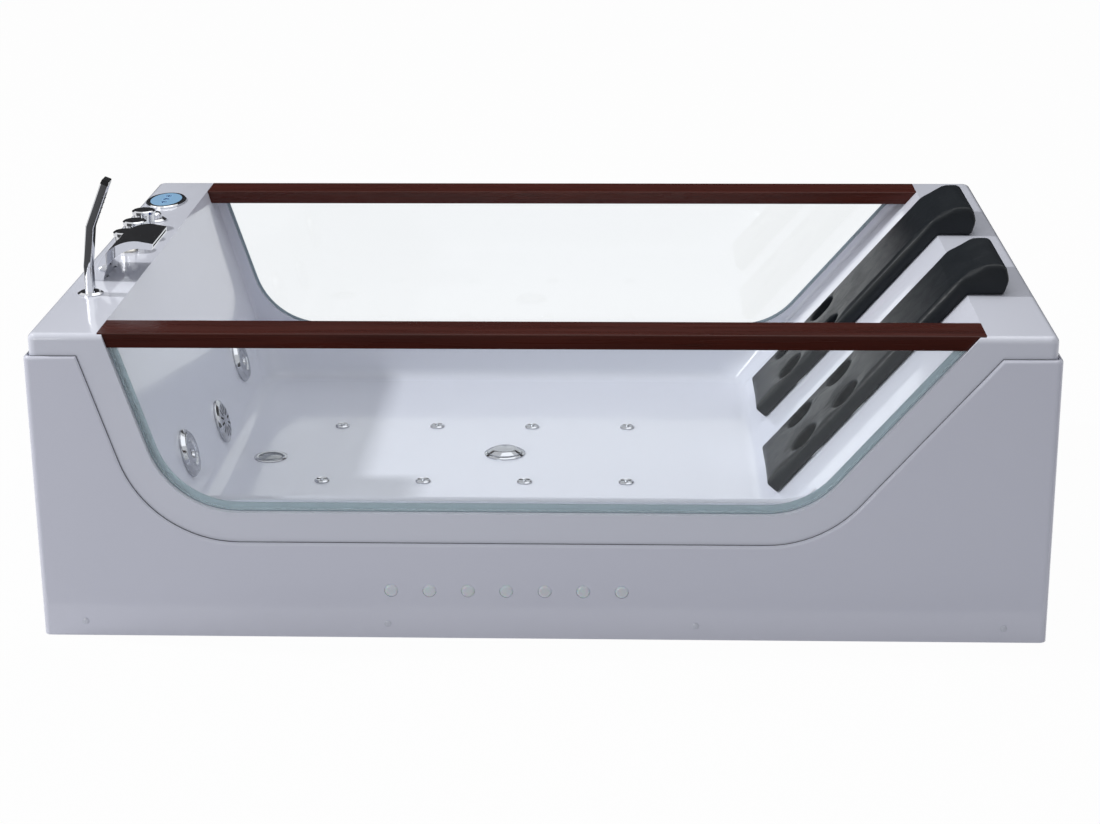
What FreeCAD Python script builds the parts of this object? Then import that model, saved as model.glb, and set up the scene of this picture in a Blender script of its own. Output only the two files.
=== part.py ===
"""Two-person jetted bathtub with glass sides, wood rails, deck taps and back pads.

Millimetres. X runs from the foot end (taps) to the head end (pads), Y from the front
to the rear, Z up. The origin is on the floor under the middle of the tub.
"""
import FreeCAD
import Part
import math
import os

Vector = FreeCAD.Vector
UP = Vector(0, 0, 1)
SIDES = (-1, 1)                   # front, rear

# ---------------------------------------------------------------- shell
LENGTH = 1800.0                   # deck, end to end
WIDTH = 1200.0                    # deck, front to rear
DECK_HEIGHT = 570.0
SHELL_WALL = 6.0
DECK_CORNER = 18.0                # upright corners of the deck
DECK_EDGE = 12.0                  # rounded top edge
FOOT_DECK = 124.0                 # width of the tap deck
HEAD_DECK = 125.0                 # width of the deck behind the pads
FOOT_LEAN = 15.4                  # degrees from upright
BACK_LEAN = 41.0
FLOOR_HEIGHT = 143.0
FLOOR_WIDTH = 1010.0
LEDGE_HEIGHT = 250.0              # seat of the windows, inside
LEDGE_INNER = 1080.0              # bath width at the ledge
BATH_CORNER = 78.0
FLOOR_FILLET = 34.0
ROOM_CORNER = 8.0                # end wall to window frame
END_FLANGE = 100.0                # depth of the turned-down rim
SIDE_FLANGE = 85.0                # rim that follows the window

# ---------------------------------------------------------------- windows
WINDOW_MARGIN = 8.0               # window edge inside the end walls
WINDOW_LEAN = 17.7                # of the edge at the tap end
WINDOW_SILL = 238.0
WINDOW_CORNER = 165.0
WINDOW_LIP = 8.0
SEAL_REACH = 14.0                 # width of the tape, which stands past the lip
GLASS_SETBACK = 12.0
GLASS_THICKNESS = 10.0
GLASS_EDGE_GAP = 2.3
TAPE_THICKNESS = 2.0
LIP_THICKNESS = 7.4
SEAT_GAP = 0.3                    # between pieces that seat on each other

# ---------------------------------------------------------------- rails
RAIL_HEIGHT = 27.0
RAIL_WIDTH = 84.0
RAIL_SETBACK = 8.0
RAIL_EDGE = 2.0
GROOVE_DEPTH = 12.0
RAIL_SCREW_RADIUS = 4.0
RAIL_SCREW_GRIP = 18.0            # length in the wood
RAIL_SCREW_HEAD = 7.0
RAIL_SCREW_PITCH = 36.0

# ---------------------------------------------------------------- skirts
SKIRT_THICKNESS = 7.2
SKIRT_DROP = 39.0                 # deck to the skirts' top edge
SKIRT_BOTTOM = 1.5
SKIRT_CORNER = 14.0
SKIRT_EDGE = 6.0
SEAM_OFFSET = 55.0                # skirt edge outside the window
MITRE_GAP = 0.15
CAP_RADIUS = 6.0
CAP_HEIGHT = 2.5
SCREW_RADIUS = 2.4
SCREW_GRIP = 12.0
LENS_FLANGE = 1.5
LONG_SCREW_INSET = 71.0
LONG_SCREW_THIRD = 278.0
LONG_SCREW_HEIGHT = 29.0
END_SCREW_INSET = 200.0
END_SCREW_HEIGHT = 50.0

# ---------------------------------------------------------------- skirt lights
LIGHT_RADIUS = 12.0
LIGHT_FIRST = -270.0
LIGHT_PITCH = 69.2
LIGHT_COUNT = 7
LIGHT_HEIGHT = 93.5
LIGHT_PROUD = 1.5
STRIP_WIDTH = 34.0

# ---------------------------------------------------------------- base frame
TUBE = 30.0
TUBE_WALL = 2.0
FRAME_GAP = 4.0                   # frame to the rim, which has rounded corners
DECK_BEARER = 20.0                # width, clear of the valves
FRAME_BOTTOM = 58.0
FIRST_MEMBER_OFFSET = 60.0        # bearer before the first bubble jets
BLOWER_MEMBERS = (330.0, 140.0)   # from the head end
PUMP_BEARER_INSET = 200.0
SILL_POST_PITCH = 420.0
BOARD_THICKNESS = 18.4
BOARD_INSET = 40.0
BRACKET_WIDTH = 40.0
BRACKET_THICKNESS = 3.0

# ---------------------------------------------------------------- levelling feet
FOOT_INSET = 100.0
FOOT_RADIUS = 22.0
FOOT_PLATE = 8.0
STUD_RADIUS = 6.0
STUD_CLEARANCE = 0.1
FOOT_HEX = 11.0
FOOT_HEX_HEIGHT = 8.0

# ---------------------------------------------------------------- back pads
PAD_CENTRE = 225.0
PAD_WIDTH = 210.0
PAD_THICKNESS = 30.0
PAD_LOWER_END = 515.0             # down the backrest from the deck edge
PAD_ROLL_HEIGHT = 58.0            # above the deck
PAD_NOSE_INSET = 49.0             # from the head end
PAD_FOOT_INSET = 58.0
PAD_EDGE = 5.0
HOLE_RADIUS = 33.0
HOLE_UPPER = 293.0                # down the backrest
HOLE_LOWER = 406.0
HOLE_SPREAD = 66.0

# ---------------------------------------------------------------- water jets
JET_SPREAD = 300.0
JET_HEIGHT = 246.0
JET_RING_RADIUS = 47.0
JET_RING_HEIGHT = 12.0
JET_TAB_RADIUS = 4.0              # raised stud that the ring is turned by
JET_BALL_RADIUS = 22.0
JET_BORE = 8.0
JET_BARREL = 31.0
JET_DEPTH = 78.0
JET_MANIFOLD_DEPTH = 58.0
BALL_CLEARANCE = 0.3
SUCTION_HEIGHT = 209.0
SUCTION_RADIUS = 44.5
SUCTION_BARREL = 24.0
SUCTION_DEPTH = 34.0
SUCTION_TAIL = 40.0
BACK_JET_RADIUS = 25.0
BACK_JET_BARREL = 14.0
BACK_JET_DEPTH = 24.0
BACK_MANIFOLD_DEPTH = 40.0
PIPE_RADIUS = 16.0
LINK_RADIUS = 14.0
SUCTION_PIPE_RADIUS = 20.0

# ---------------------------------------------------------------- bath floor fittings
BUBBLE_FIRST = -450.0
BUBBLE_PITCH = 200.0
BUBBLE_COUNT = 4
BUBBLE_SPREAD = 168.0
BUBBLE_RADIUS = 15.0
BUBBLE_BARREL = 9.0
DRAIN_X = -98.0
DRAIN_RADIUS = 41.5
DRAIN_BARREL = 24.0
CAP_DISC_RADIUS = 35.0
FLOOR_LIGHT_INSET = 86.0          # from the foot wall
FLOOR_LIGHT_Y = -30.0
FLOOR_LIGHT_RADIUS = 34.0
FLOOR_LIGHT_BARREL = 26.0

# ---------------------------------------------------------------- deck fittings
SHOWER_INSET = 56.0               # from the foot end
SHOWER_SIDE = 266.0               # from the front
BAR_WIDTH = 15.0
BAR_DEPTH = 26.0
SLEEVE_HEIGHT = 54.0
BAR_BEND = 129.0                  # above the deck
GRIP_LEAN = 7.0
SPRAY_LENGTH = 86.0
SPRAY_TILT = 22.0
ROSETTE_RADIUS = 24.0
SPIGOT_LENGTH = 40.0
SPOUT_SIDE = 356.0                # from the front
SPOUT_WIDTH = 140.0
SPOUT_INSET = 44.0
SPOUT_FOOT = 16.0                 # thickness at the deck
SPOUT_REACH = 114.0
SPOUT_RISE = 77.0
SPOUT_LIP = 12.0
KNOB_INSET = 55.0
KNOB_FIRST = -12.0
KNOB_PITCH = 90.0
KNOB_RADIUS = 24.0
KNOB_BODY_RADIUS = 21.0
KNOB_HEIGHT = 40.0
KNOB_TOP = 8.0
KNOB_FLUTES = 10
KNOB_STEM_RADIUS = 6.0
VALVE_RADIUS = 18.0
VALVE_DEPTH = 80.0
INLET_RADIUS = 10.5
INLET_LENGTH = 22.0
AIR_KNOB_INSET = 62.0
AIR_KNOB_SIDE = 360.0             # from the rear
AIR_BASE_RADIUS = 24.0
AIR_KNOB_RADIUS = 14.5
AIR_KNOB_HEIGHT = 13.0
PANEL_INSET = 53.0
PANEL_SIDE = 192.0                # from the rear
PANEL_HALF_WIDTH = 42.0
PANEL_HALF_LENGTH = 67.0
PANEL_HEIGHT = 5.0
PANEL_BEZEL = 9.0
LENS_DEPTH = 3.0
KEY_RADIUS = 9.0
KEY_PITCH = 28.0
KEY_TRAVEL = 0.8
KEY_GAP = 0.2
KEY_PROUD = 0.8

# ---------------------------------------------------------------- machinery
PUMP_INSET = 85.0
PUMP_Y = 110.0
VOLUTE_RADIUS = 72.0
VOLUTE_WIDTH = 60.0
OUTLET_RADIUS = 11.0
MOTOR_RADIUS = 58.0
MOTOR_LENGTH = 190.0
PUMP_FOOT_WIDTH = 120.0
PUMP_PLATE = 4.0
LANE_INSET = 64.0                 # pipe beside the bath, from the side
LANE_Z = 150.0
LANE_BEND = 60.0
BLOWER_INSET = 240.0
BLOWER_Y = -168.0
BLOWER_RADIUS = 78.0
BLOWER_HEIGHT = 115.0
BLOWER_NECK = 20.0                # outlet beyond the casing
AIR_PIPE_RADIUS = 12.5
AIR_LINK_RADIUS = 11.0            # pipe that crosses to the rear row
AIR_PIPE_Z = 72.0
RISER_RADIUS = 8.0
WASTE_RADIUS = 20.0
WASTE_WALL = 2.0
WASTE_Z = 32.0
WASTE_INSET = 120.0
WASTE_SPIGOT = 50.0
TRAP_RADIUS = 45.0
CONTROL_BOX = (100.0, 126.0, 120.0)
CONTROL_BOX_Z = 300.0

# ---------------------------------------------------------------- worked out from the sizes above
HALF_L = LENGTH / 2
HALF_W = WIDTH / 2
SKIRT_TOP = DECK_HEIGHT - SKIRT_DROP
LONG_SCREWS = (LONG_SCREW_INSET - HALF_L, -LONG_SCREW_THIRD, LONG_SCREW_THIRD, HALF_L - LONG_SCREW_INSET)
END_SCREWS = (END_SCREW_INSET - HALF_W, HALF_W - END_SCREW_INSET)
BUBBLE_PLACES = [BUBBLE_FIRST + i * BUBBLE_PITCH for i in range(BUBBLE_COUNT)]
CROSS_MEMBERS = ([BUBBLE_FIRST - FIRST_MEMBER_OFFSET] + [x + BUBBLE_PITCH / 2 for x in BUBBLE_PLACES]
                 + [HALF_L - inset for inset in BLOWER_MEMBERS])
PUMP_BEARER = PUMP_BEARER_INSET - HALF_L
SILL_POSTS = (-SILL_POST_PITCH, 0.0, SILL_POST_PITCH)
FOOT_POSITIONS = (FOOT_INSET - HALF_L, 0.0, HALF_L - FOOT_INSET)
PAD_ROLL_TOP = DECK_HEIGHT + PAD_ROLL_HEIGHT
PAD_NOSE = HALF_L - PAD_NOSE_INSET
PAD_ROLL_FOOT = HALF_L - PAD_FOOT_INSET
SHOWER_X = SHOWER_INSET - HALF_L
SHOWER_Y = SHOWER_SIDE - HALF_W
SPOUT_FRONT = SPOUT_SIDE - HALF_W
SPOUT_BACK = SPOUT_INSET - HALF_L
KNOB_X = KNOB_INSET - HALF_L
AIR_KNOB_X = AIR_KNOB_INSET - HALF_L
AIR_KNOB_Y = HALF_W - AIR_KNOB_SIDE
PANEL_X = PANEL_INSET - HALF_L
PANEL_Y = HALF_W - PANEL_SIDE
PUMP_X = PUMP_INSET - HALF_L
LANE_Y = HALF_W - LANE_INSET
BLOWER_X = HALF_L - BLOWER_INSET
WASTE_END = HALF_W - WASTE_INSET
GLASS_FACE = HALF_W - GLASS_SETBACK
GLASS_BACK = GLASS_FACE - GLASS_THICKNESS
TAPE_BACK = GLASS_BACK - SEAT_GAP - TAPE_THICKNESS
LIP_FACE = TAPE_BACK - SEAT_GAP
ROOM_HALF = LIP_FACE - LIP_THICKNESS
RAIL_BOTTOM = DECK_HEIGHT - RAIL_HEIGHT
SKIRT_BACK = HALF_W + SEAT_GAP
SKIRT_SIDE = HALF_W + SEAT_GAP + SKIRT_THICKNESS
SKIRT_END = HALF_L + SEAT_GAP + SKIRT_THICKNESS
FRAME_X = HALF_L - SHELL_WALL - FRAME_GAP
FRAME_Y = HALF_W - SHELL_WALL - FRAME_GAP
FRAME_TOP = FRAME_BOTTOM + TUBE
CROSS_TOP = FRAME_TOP + TUBE
TAN_FOOT = math.tan(math.radians(FOOT_LEAN))
TAN_BACK = math.tan(math.radians(BACK_LEAN))
TAN_WINDOW = math.tan(math.radians(WINDOW_LEAN))
COS_FOOT = math.cos(math.radians(FOOT_LEAN))
COS_WINDOW = math.cos(math.radians(WINDOW_LEAN))
COS_BACK = math.cos(math.radians(BACK_LEAN))
FOOT_TURN = 90.0 - FOOT_LEAN      # turns +Z onto the foot wall's normal
BACK_TURN = BACK_LEAN - 90.0
FLOOR_LIGHT_X = FOOT_DECK - HALF_L + (DECK_HEIGHT - FLOOR_HEIGHT) * TAN_FOOT + FLOOR_LIGHT_INSET
FAR = 3 * LENGTH


# ================================================================ geometry helpers
def foot_wall_x(z, inward=0.0):
    """X of the foot wall at a height, moved into the bath square to the wall."""
    return -HALF_L + FOOT_DECK + (DECK_HEIGHT - z) * TAN_FOOT + inward / COS_FOOT


def window_edge_x(z, inward):
    """X of the windows' edge at the tap end, which leans more than the wall."""
    return -HALF_L + FOOT_DECK + (DECK_HEIGHT - z) * TAN_WINDOW + inward / COS_WINDOW


def back_wall_x(z, inward=0.0):
    """X of the backrest at a height, moved into the bath square to the wall."""
    return HALF_L - HEAD_DECK - (DECK_HEIGHT - z) * TAN_BACK - inward / COS_BACK


def box(x0, x1, y0, y1, z0, z1):
    corner = Vector(min(x0, x1), min(y0, y1), min(z0, z1))
    return Part.makeBox(abs(x1 - x0), abs(y1 - y0), abs(z1 - z0), corner)


def cylinder(radius, z0, z1, x=0.0, y=0.0):
    return Part.makeCylinder(radius, z1 - z0, Vector(x, y, z0), UP)


def hexagon(reach, z0, z1, x, y):
    """Six-sided block; reach is from its middle to a corner."""
    turns = [math.radians(60 * i) for i in range(6)]
    return prism_z([(x + reach * math.cos(t), y + reach * math.sin(t)) for t in turns], z0, z1)


def fuse_all(shapes):
    whole = shapes[0].fuse(shapes[1:]) if len(shapes) > 1 else shapes[0]
    return whole.removeSplitter()


def cut_all(shape, tools):
    return shape.cut(tools) if tools else shape


def corner_arc(before, corner, after, radius):
    """Start, middle and end of the arc that rounds a corner."""
    back = (before - corner).normalize()
    on = (after - corner).normalize()
    half = back.getAngle(on) / 2
    run = radius / math.tan(half)
    middle = (back + on).normalize() * (radius / math.sin(half) - radius)
    return corner + back * run, corner + middle, corner + on * run


def rounded_wire(points, radii, closed=True):
    """A wire through the points, with an arc of the given radius at each."""
    edges = []
    count = len(points)
    first = None
    last = None
    for i, corner in enumerate(points):
        inner = closed or 0 < i < count - 1
        if inner and radii[i] > 0:
            arc = corner_arc(points[i - 1], corner, points[(i + 1) % count], radii[i])
            start, end = arc[0], arc[2]
            curve = Part.Arc(*arc).toShape()
        else:
            start, end, curve = corner, corner, None
        if last is not None and start.distanceToPoint(last) > 1e-6:
            edges.append(Part.LineSegment(last, start).toShape())
        if curve:
            edges.append(curve)
        first = first if first is not None else start
        last = end
    if closed and last.distanceToPoint(first) > 1e-6:
        edges.append(Part.LineSegment(last, first).toShape())
    return Part.Wire(edges)


def prism_y(outline, y0, y1, radii=None):
    """An (x, z) outline carried along Y."""
    points = [Vector(x, y0, z) for x, z in outline]
    wire = rounded_wire(points, radii or [0] * len(points))
    return Part.Face(wire).extrude(Vector(0, y1 - y0, 0))


def prism_x(outline, x0, x1, radii=None):
    """A (y, z) outline carried along X."""
    points = [Vector(x0, y, z) for y, z in outline]
    wire = rounded_wire(points, radii or [0] * len(points))
    return Part.Face(wire).extrude(Vector(x1 - x0, 0, 0))


def prism_z(outline, z0, z1, radii=None):
    """An (x, y) outline carried up Z."""
    points = [Vector(x, y, z0) for x, y in outline]
    wire = rounded_wire(points, radii or [0] * len(points))
    return Part.Face(wire).extrude(Vector(0, 0, z1 - z0))


def revolved(outline, radii=None):
    """A (radius, height) outline turned about Z."""
    points = [Vector(r, 0, z) for r, z in outline]
    wire = rounded_wire(points, radii or [0] * len(points))
    return Part.Face(wire).revolve(Vector(0, 0, 0), UP, 360)


def placed(shape, x, y, z, turn=0.0):
    """A shape built about the origin, tipped about Y and put in its place."""
    rotation = FreeCAD.Rotation(Vector(0, 1, 0), turn)
    moved = shape.copy()
    moved.Placement = FreeCAD.Placement(Vector(x, y, z), rotation)
    return moved


def on_foot_wall(shape, y, z):
    """Puts a fitting, built with +Z out of the wall, on the foot wall."""
    return placed(shape, foot_wall_x(z), y, z, FOOT_TURN)


def down_backrest(distance):
    """Point on the backrest, measured down it from the deck edge."""
    z = DECK_HEIGHT - distance * COS_BACK
    return back_wall_x(z), z


def on_backrest(shape, y, distance):
    x, z = down_backrest(distance)
    return placed(shape, x, y, z, BACK_TURN)


def behind_foot_wall(z, depth):
    """Point behind the foot wall, on the axis of a fitting at height z."""
    return foot_wall_x(z) - depth * COS_FOOT, z - depth * math.sin(math.radians(FOOT_LEAN))


def behind_backrest(distance, depth):
    x, z = down_backrest(distance)
    return x + depth * COS_BACK, z - depth * math.sin(math.radians(BACK_LEAN))


def pipe(points, radius, bend):
    """A round pipe along straight runs that tangent bends join."""
    path = rounded_wire([Vector(*p) for p in points], [bend] * len(points), closed=False)
    start = Vector(*points[0])
    ring = Part.Circle(start, Vector(*points[1]) - start, radius).toShape()
    return path.makePipeShell([Part.Wire(ring)], True, False)


def square_tube(x0, x1, y0, y1, z0, z1, along):
    """Hollow square tube; along is the axis that its bore runs along."""
    grown = {"x": (0, 1, 1), "y": (1, 0, 1), "z": (1, 1, 0)}[along]
    inset = [TUBE_WALL * g for g in grown]
    past = [1.0 * (1 - g) for g in grown]
    bore = box(x0 + inset[0] - past[0], x1 - inset[0] + past[0],
               y0 + inset[1] - past[1], y1 - inset[1] + past[1],
               z0 + inset[2] - past[2], z1 - inset[2] + past[2])
    return box(x0, x1, y0, y1, z0, z1).cut(bore)


def rounded_edges(shape, radius, wanted):
    """Fillets the edges that the test picks."""
    edges = [edge for edge in shape.Edges if wanted(edge)]
    return shape.makeFillet(radius, edges) if edges else shape


def runs_along(edge, axis):
    """True for a straight edge along the named axis."""
    box_ = edge.BoundBox
    spans = {"x": box_.XLength, "y": box_.YLength, "z": box_.ZLength}
    others = [span for name, span in spans.items() if name != axis]
    return spans[axis] > 1.0 and max(others) < 0.01


# ================================================================ shell
def bath_outline(inward, bottom, top):
    return [(foot_wall_x(top, inward), top), (foot_wall_x(bottom, inward), bottom),
            (back_wall_x(bottom, inward), bottom), (back_wall_x(top, inward), top)]


def bath_prism(inward, bottom, top, y0, y1):
    return prism_y(bath_outline(inward, bottom, top), y0, y1)


def window_prism(grow, y0, y1, top):
    """The window's outline, grown or shrunk, carried between two Y planes."""
    inward = WINDOW_MARGIN - grow
    bottom = WINDOW_SILL - grow
    outline = [(window_edge_x(top, inward), top), (window_edge_x(bottom, inward), bottom),
               (back_wall_x(bottom, inward), bottom), (back_wall_x(top, inward), top)]
    radius = WINDOW_CORNER + grow
    return prism_y(outline, y0, y1, [0, radius, radius, 0])


def lower_room(grow):
    """Bath below the window ledge, between leaning walls."""
    bottom = FLOOR_HEIGHT - grow
    top = LEDGE_HEIGHT + SHELL_WALL
    lean = (LEDGE_INNER - FLOOR_WIDTH) / 2 / (LEDGE_HEIGHT - FLOOR_HEIGHT)
    wide = grow * math.hypot(1, lean)
    low_half = FLOOR_WIDTH / 2 + wide - grow * lean
    top_half = FLOOR_WIDTH / 2 + wide + (top - FLOOR_HEIGHT) * lean
    ends = bath_prism(-grow, bottom, top, -HALF_W, HALF_W)
    walls = prism_x([(-low_half, bottom), (low_half, bottom), (top_half, top), (-top_half, top)],
                    -HALF_L, HALF_L)
    room = ends.common(walls)
    room = rounded_edges(room, BATH_CORNER + grow, lambda edge: upright_corner(edge, bottom, top))
    return rounded_edges(room, FLOOR_FILLET + grow,
                         lambda edge: edge.BoundBox.ZMax < bottom + 0.01)


def upright_corner(edge, bottom, top):
    return edge.BoundBox.ZLength > (top - bottom) * 0.9


def upper_room(grow):
    """Bath between the windows, from the ledge up."""
    bottom = LEDGE_HEIGHT - grow
    top = DECK_HEIGHT if grow else DECK_HEIGHT + SHELL_WALL
    room = bath_prism(-grow, bottom, top, -ROOM_HALF - grow, ROOM_HALF + grow)
    return rounded_edges(room, ROOM_CORNER + grow, lambda edge: upright_corner(edge, bottom, top))


def deck_block(inset, top, bottom):
    block = box(-HALF_L + inset, HALF_L - inset, -HALF_W + inset, HALF_W - inset, bottom, top)
    block = rounded_edges(block, DECK_CORNER - inset, lambda edge: runs_along(edge, "z"))
    return rounded_edges(block, DECK_EDGE - inset, lambda edge: edge.BoundBox.ZMin > top - 0.01)


def deck_rim():
    """Deck with its turned-down rim, which follows the windows on the long sides."""
    bottom = WINDOW_SILL - SIDE_FLANGE
    outside = deck_block(0.0, DECK_HEIGHT, bottom)
    inside = deck_block(SHELL_WALL, DECK_HEIGHT - SHELL_WALL, bottom - SHELL_WALL)
    top_strip = box(-HALF_L, HALF_L, -HALF_W, HALF_W, DECK_HEIGHT - END_FLANGE, DECK_HEIGHT)
    side_strip = window_prism(SIDE_FLANGE, -HALF_W, HALF_W, DECK_HEIGHT)
    return outside.cut(inside).common(top_strip.fuse(side_strip))


def window_frame(side):
    """Reveal round the glass and the lip that the glass is bonded to."""
    reveal = window_prism(SHELL_WALL, side * ROOM_HALF, side * (HALF_W - SHELL_WALL / 2), RAIL_BOTTOM)
    rebate = window_prism(0.0, side * LIP_FACE, side * HALF_W, RAIL_BOTTOM)
    opening = window_prism(-WINDOW_LIP, side * (ROOM_HALF - SHELL_WALL), side * HALF_W, RAIL_BOTTOM)
    return reveal.cut([rebate, opening])


def window_cuts(side):
    """What the window takes out of the rim, and the pocket that the rail lies in."""
    past = side * (HALF_W + SHELL_WALL)
    rebate = window_prism(0.0, side * LIP_FACE, past, DECK_HEIGHT + SHELL_WALL)
    opening = window_prism(-WINDOW_LIP, side * (ROOM_HALF - SHELL_WALL), past, DECK_HEIGHT + SHELL_WALL)
    inner = side * (ROOM_HALF - ROOM_CORNER - SEAT_GAP)
    rim_back = side * (HALF_W - SHELL_WALL)
    pocket = bath_prism(0.0, RAIL_BOTTOM - SEAT_GAP, DECK_HEIGHT + SHELL_WALL, inner, rim_back)
    return [rebate, opening, pocket]


def shell_holes():
    """Holes for every fitting that passes through the shell."""
    reach = 3 * SHELL_WALL
    holes = []
    for side in SIDES:
        jet = cylinder(JET_BARREL + SEAT_GAP, -reach, reach)
        holes.append(on_foot_wall(jet, side * JET_SPREAD, JET_HEIGHT))
        for x in BUBBLE_PLACES:
            hole = cylinder(BUBBLE_BARREL + SEAT_GAP, FLOOR_HEIGHT - reach, FLOOR_HEIGHT + reach)
            holes.append(placed(hole, x, side * BUBBLE_SPREAD, 0))
    holes.append(on_foot_wall(cylinder(SUCTION_BARREL + SEAT_GAP, -reach, reach), 0, SUCTION_HEIGHT))
    for y, distance in back_jet_places():
        holes.append(on_backrest(cylinder(BACK_JET_BARREL + SEAT_GAP, -reach, reach), y, distance))
    floor = ((DRAIN_X, 0.0, DRAIN_BARREL), (FLOOR_LIGHT_X, FLOOR_LIGHT_Y, FLOOR_LIGHT_BARREL))
    for x, y, radius in floor:
        holes.append(cylinder(radius + SEAT_GAP, FLOOR_HEIGHT - reach, FLOOR_HEIGHT + reach, x, y))
    for x, y, radius in deck_hole_list():
        holes.append(cylinder(radius + SEAT_GAP, DECK_HEIGHT - reach, DECK_HEIGHT + reach, x, y))
    return holes + [screw_shank(*place) for place in rail_screw_places()]


def tub_shell():
    rim = deck_rim()
    outside = fuse_all([rim, upper_room(SHELL_WALL), lower_room(SHELL_WALL)]
                       + [window_frame(side) for side in SIDES])
    cuts = [upper_room(0.0), lower_room(0.0)]
    for side in SIDES:
        cuts += window_cuts(side)
    shell = cut_all(outside, cuts)
    return cut_all(shell, shell_holes()).removeSplitter()


# ================================================================ windows and rails
def window_glass(side):
    top = RAIL_BOTTOM + GROOVE_DEPTH - SEAT_GAP
    return window_prism(-GLASS_EDGE_GAP, side * GLASS_BACK, side * GLASS_FACE, top)


def glass_seal(side):
    """Bonding tape on the lip with the bead that fills the gap round the glass."""
    top = RAIL_BOTTOM - SEAT_GAP
    tape_face = GLASS_BACK - SEAT_GAP
    tape = window_prism(-SEAT_GAP, side * TAPE_BACK, side * tape_face, top)
    hollow = window_prism(SEAT_GAP - SEAL_REACH, side * TAPE_BACK, side * tape_face, top)
    bead = window_prism(-SEAT_GAP, side * tape_face, side * GLASS_FACE, top)
    pane = window_prism(SEAT_GAP - GLASS_EDGE_GAP, side * tape_face, side * GLASS_FACE, top)
    return tape.cut(hollow).fuse(bead.cut(pane)).removeSplitter()


def glass_seals():
    return [glass_seal(side) for side in SIDES]


def hand_rail(side):
    outer = HALF_W - RAIL_SETBACK
    inner = outer - RAIL_WIDTH
    rail = bath_prism(SEAT_GAP, RAIL_BOTTOM, DECK_HEIGHT, side * inner, side * outer)
    rail = rounded_edges(rail, RAIL_EDGE, lambda edge: runs_along(edge, "x"))
    groove = box(-HALF_L, HALF_L, side * (GLASS_BACK - SEAT_GAP), side * (GLASS_FACE + SEAT_GAP),
                 RAIL_BOTTOM - 1, RAIL_BOTTOM + GROOVE_DEPTH)
    return cut_all(rail, [groove] + [screw_shank(*place) for place in rail_screw_places()])


def rail_screw_places():
    """Y, side of the tub's length and turn of the screws that hold the rails' ends."""
    places = []
    middle = HALF_W - RAIL_SETBACK - RAIL_WIDTH / 2 - RAIL_SCREW_RADIUS
    for side in SIDES:
        for step in (-0.5, 0.5):
            y = side * (middle + step * RAIL_SCREW_PITCH)
            places += [(y, "foot"), (y, "back")]
    return places


def screw_on_end_wall(shape, y, end):
    z = RAIL_BOTTOM + RAIL_SCREW_HEAD
    if end == "foot":
        return placed(shape, foot_wall_x(z), y, z, FOOT_TURN)
    return placed(shape, back_wall_x(z), y, z, BACK_TURN)


def screw_shank(y, end):
    shank = cylinder(RAIL_SCREW_RADIUS, -2 * SHELL_WALL, RAIL_SCREW_GRIP)
    return screw_on_end_wall(shank, y, end)


def rail_screws():
    """Pan-head screws from behind the end walls into the rails' ends."""
    seat = -SHELL_WALL - SEAT_GAP
    screws = []
    for y, end in rail_screw_places():
        radius = RAIL_SCREW_RADIUS - SEAT_GAP
        profile = [(0, seat - radius), (RAIL_SCREW_HEAD, seat - radius), (RAIL_SCREW_HEAD, seat),
                   (radius, seat), (radius, RAIL_SCREW_GRIP - SEAT_GAP), (0, RAIL_SCREW_GRIP - SEAT_GAP)]
        screws.append(screw_on_end_wall(revolved(profile, [0, 1.5, 0, 0, 0, 0]), y, end))
    return screws


# ================================================================ skirts
def skirt_ring():
    """All four skirts before they are cut apart at the corners."""
    ring = box(-SKIRT_END, SKIRT_END, -SKIRT_SIDE, SKIRT_SIDE, SKIRT_BOTTOM, SKIRT_TOP)
    ring = rounded_edges(ring, SKIRT_CORNER, lambda edge: runs_along(edge, "z"))
    inside = box(-HALF_L - SEAT_GAP, HALF_L + SEAT_GAP, -SKIRT_BACK, SKIRT_BACK, 0, SKIRT_TOP + 1)
    return ring.cut(inside)


def long_side_cut():
    """Takes the window's surround out of the long skirts."""
    cut = window_prism(SEAM_OFFSET, -SKIRT_SIDE - 1, SKIRT_SIDE + 1, SKIRT_TOP + SKIRT_EDGE)
    return cut.common(box(-HALF_L, HALF_L, -SKIRT_SIDE - 1, SKIRT_SIDE + 1, 0, DECK_HEIGHT))


def on_outer_face(edge, side):
    """True for an edge of a long skirt's outer face, its ends and its foot left out."""
    box_ = edge.BoundBox
    return (abs(box_.YMin - side * SKIRT_SIDE) < 0.01 and abs(box_.YMax - side * SKIRT_SIDE) < 0.01
            and box_.ZMax > SKIRT_BOTTOM + 1 and box_.XLength > 0.01)


def corner_wedge(axis, sign):
    """Everything on one side of the tub, out to its mitre planes."""
    near = MITRE_GAP * math.sqrt(2)
    start = SKIRT_END - SKIRT_SIDE
    if axis == "y":
        outline = [(near - start, 0), (start - near, 0), (start - near + FAR, FAR), (near - start - FAR, FAR)]
        return prism_z([(x, sign * y) for x, y in outline], 0, DECK_HEIGHT)
    outline = [(start + near, 0), (start + near + FAR, FAR), (start + near + FAR, -FAR)]
    return prism_z([(sign * x, y) for x, y in outline], 0, DECK_HEIGHT)


def screw_places(axis):
    """Places on one skirt, as (along, height)."""
    if axis == "y":
        return [(along, LONG_SCREW_HEIGHT) for along in LONG_SCREWS]
    return [(along, END_SCREW_HEIGHT) for along in END_SCREWS]


def facing(shape, axis, sign, along, z, out):
    """Turns a piece built with +Z outward to face out of one skirt."""
    if axis == "y":
        rotation = FreeCAD.Rotation(Vector(0, 0, 1), Vector(0, sign, 0))
        base = Vector(along, sign * out, z)
    else:
        rotation = FreeCAD.Rotation(Vector(0, 0, 1), Vector(sign, 0, 0))
        base = Vector(sign * out, along, z)
    moved = shape.copy()
    moved.Placement = FreeCAD.Placement(base, rotation)
    return moved


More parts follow.
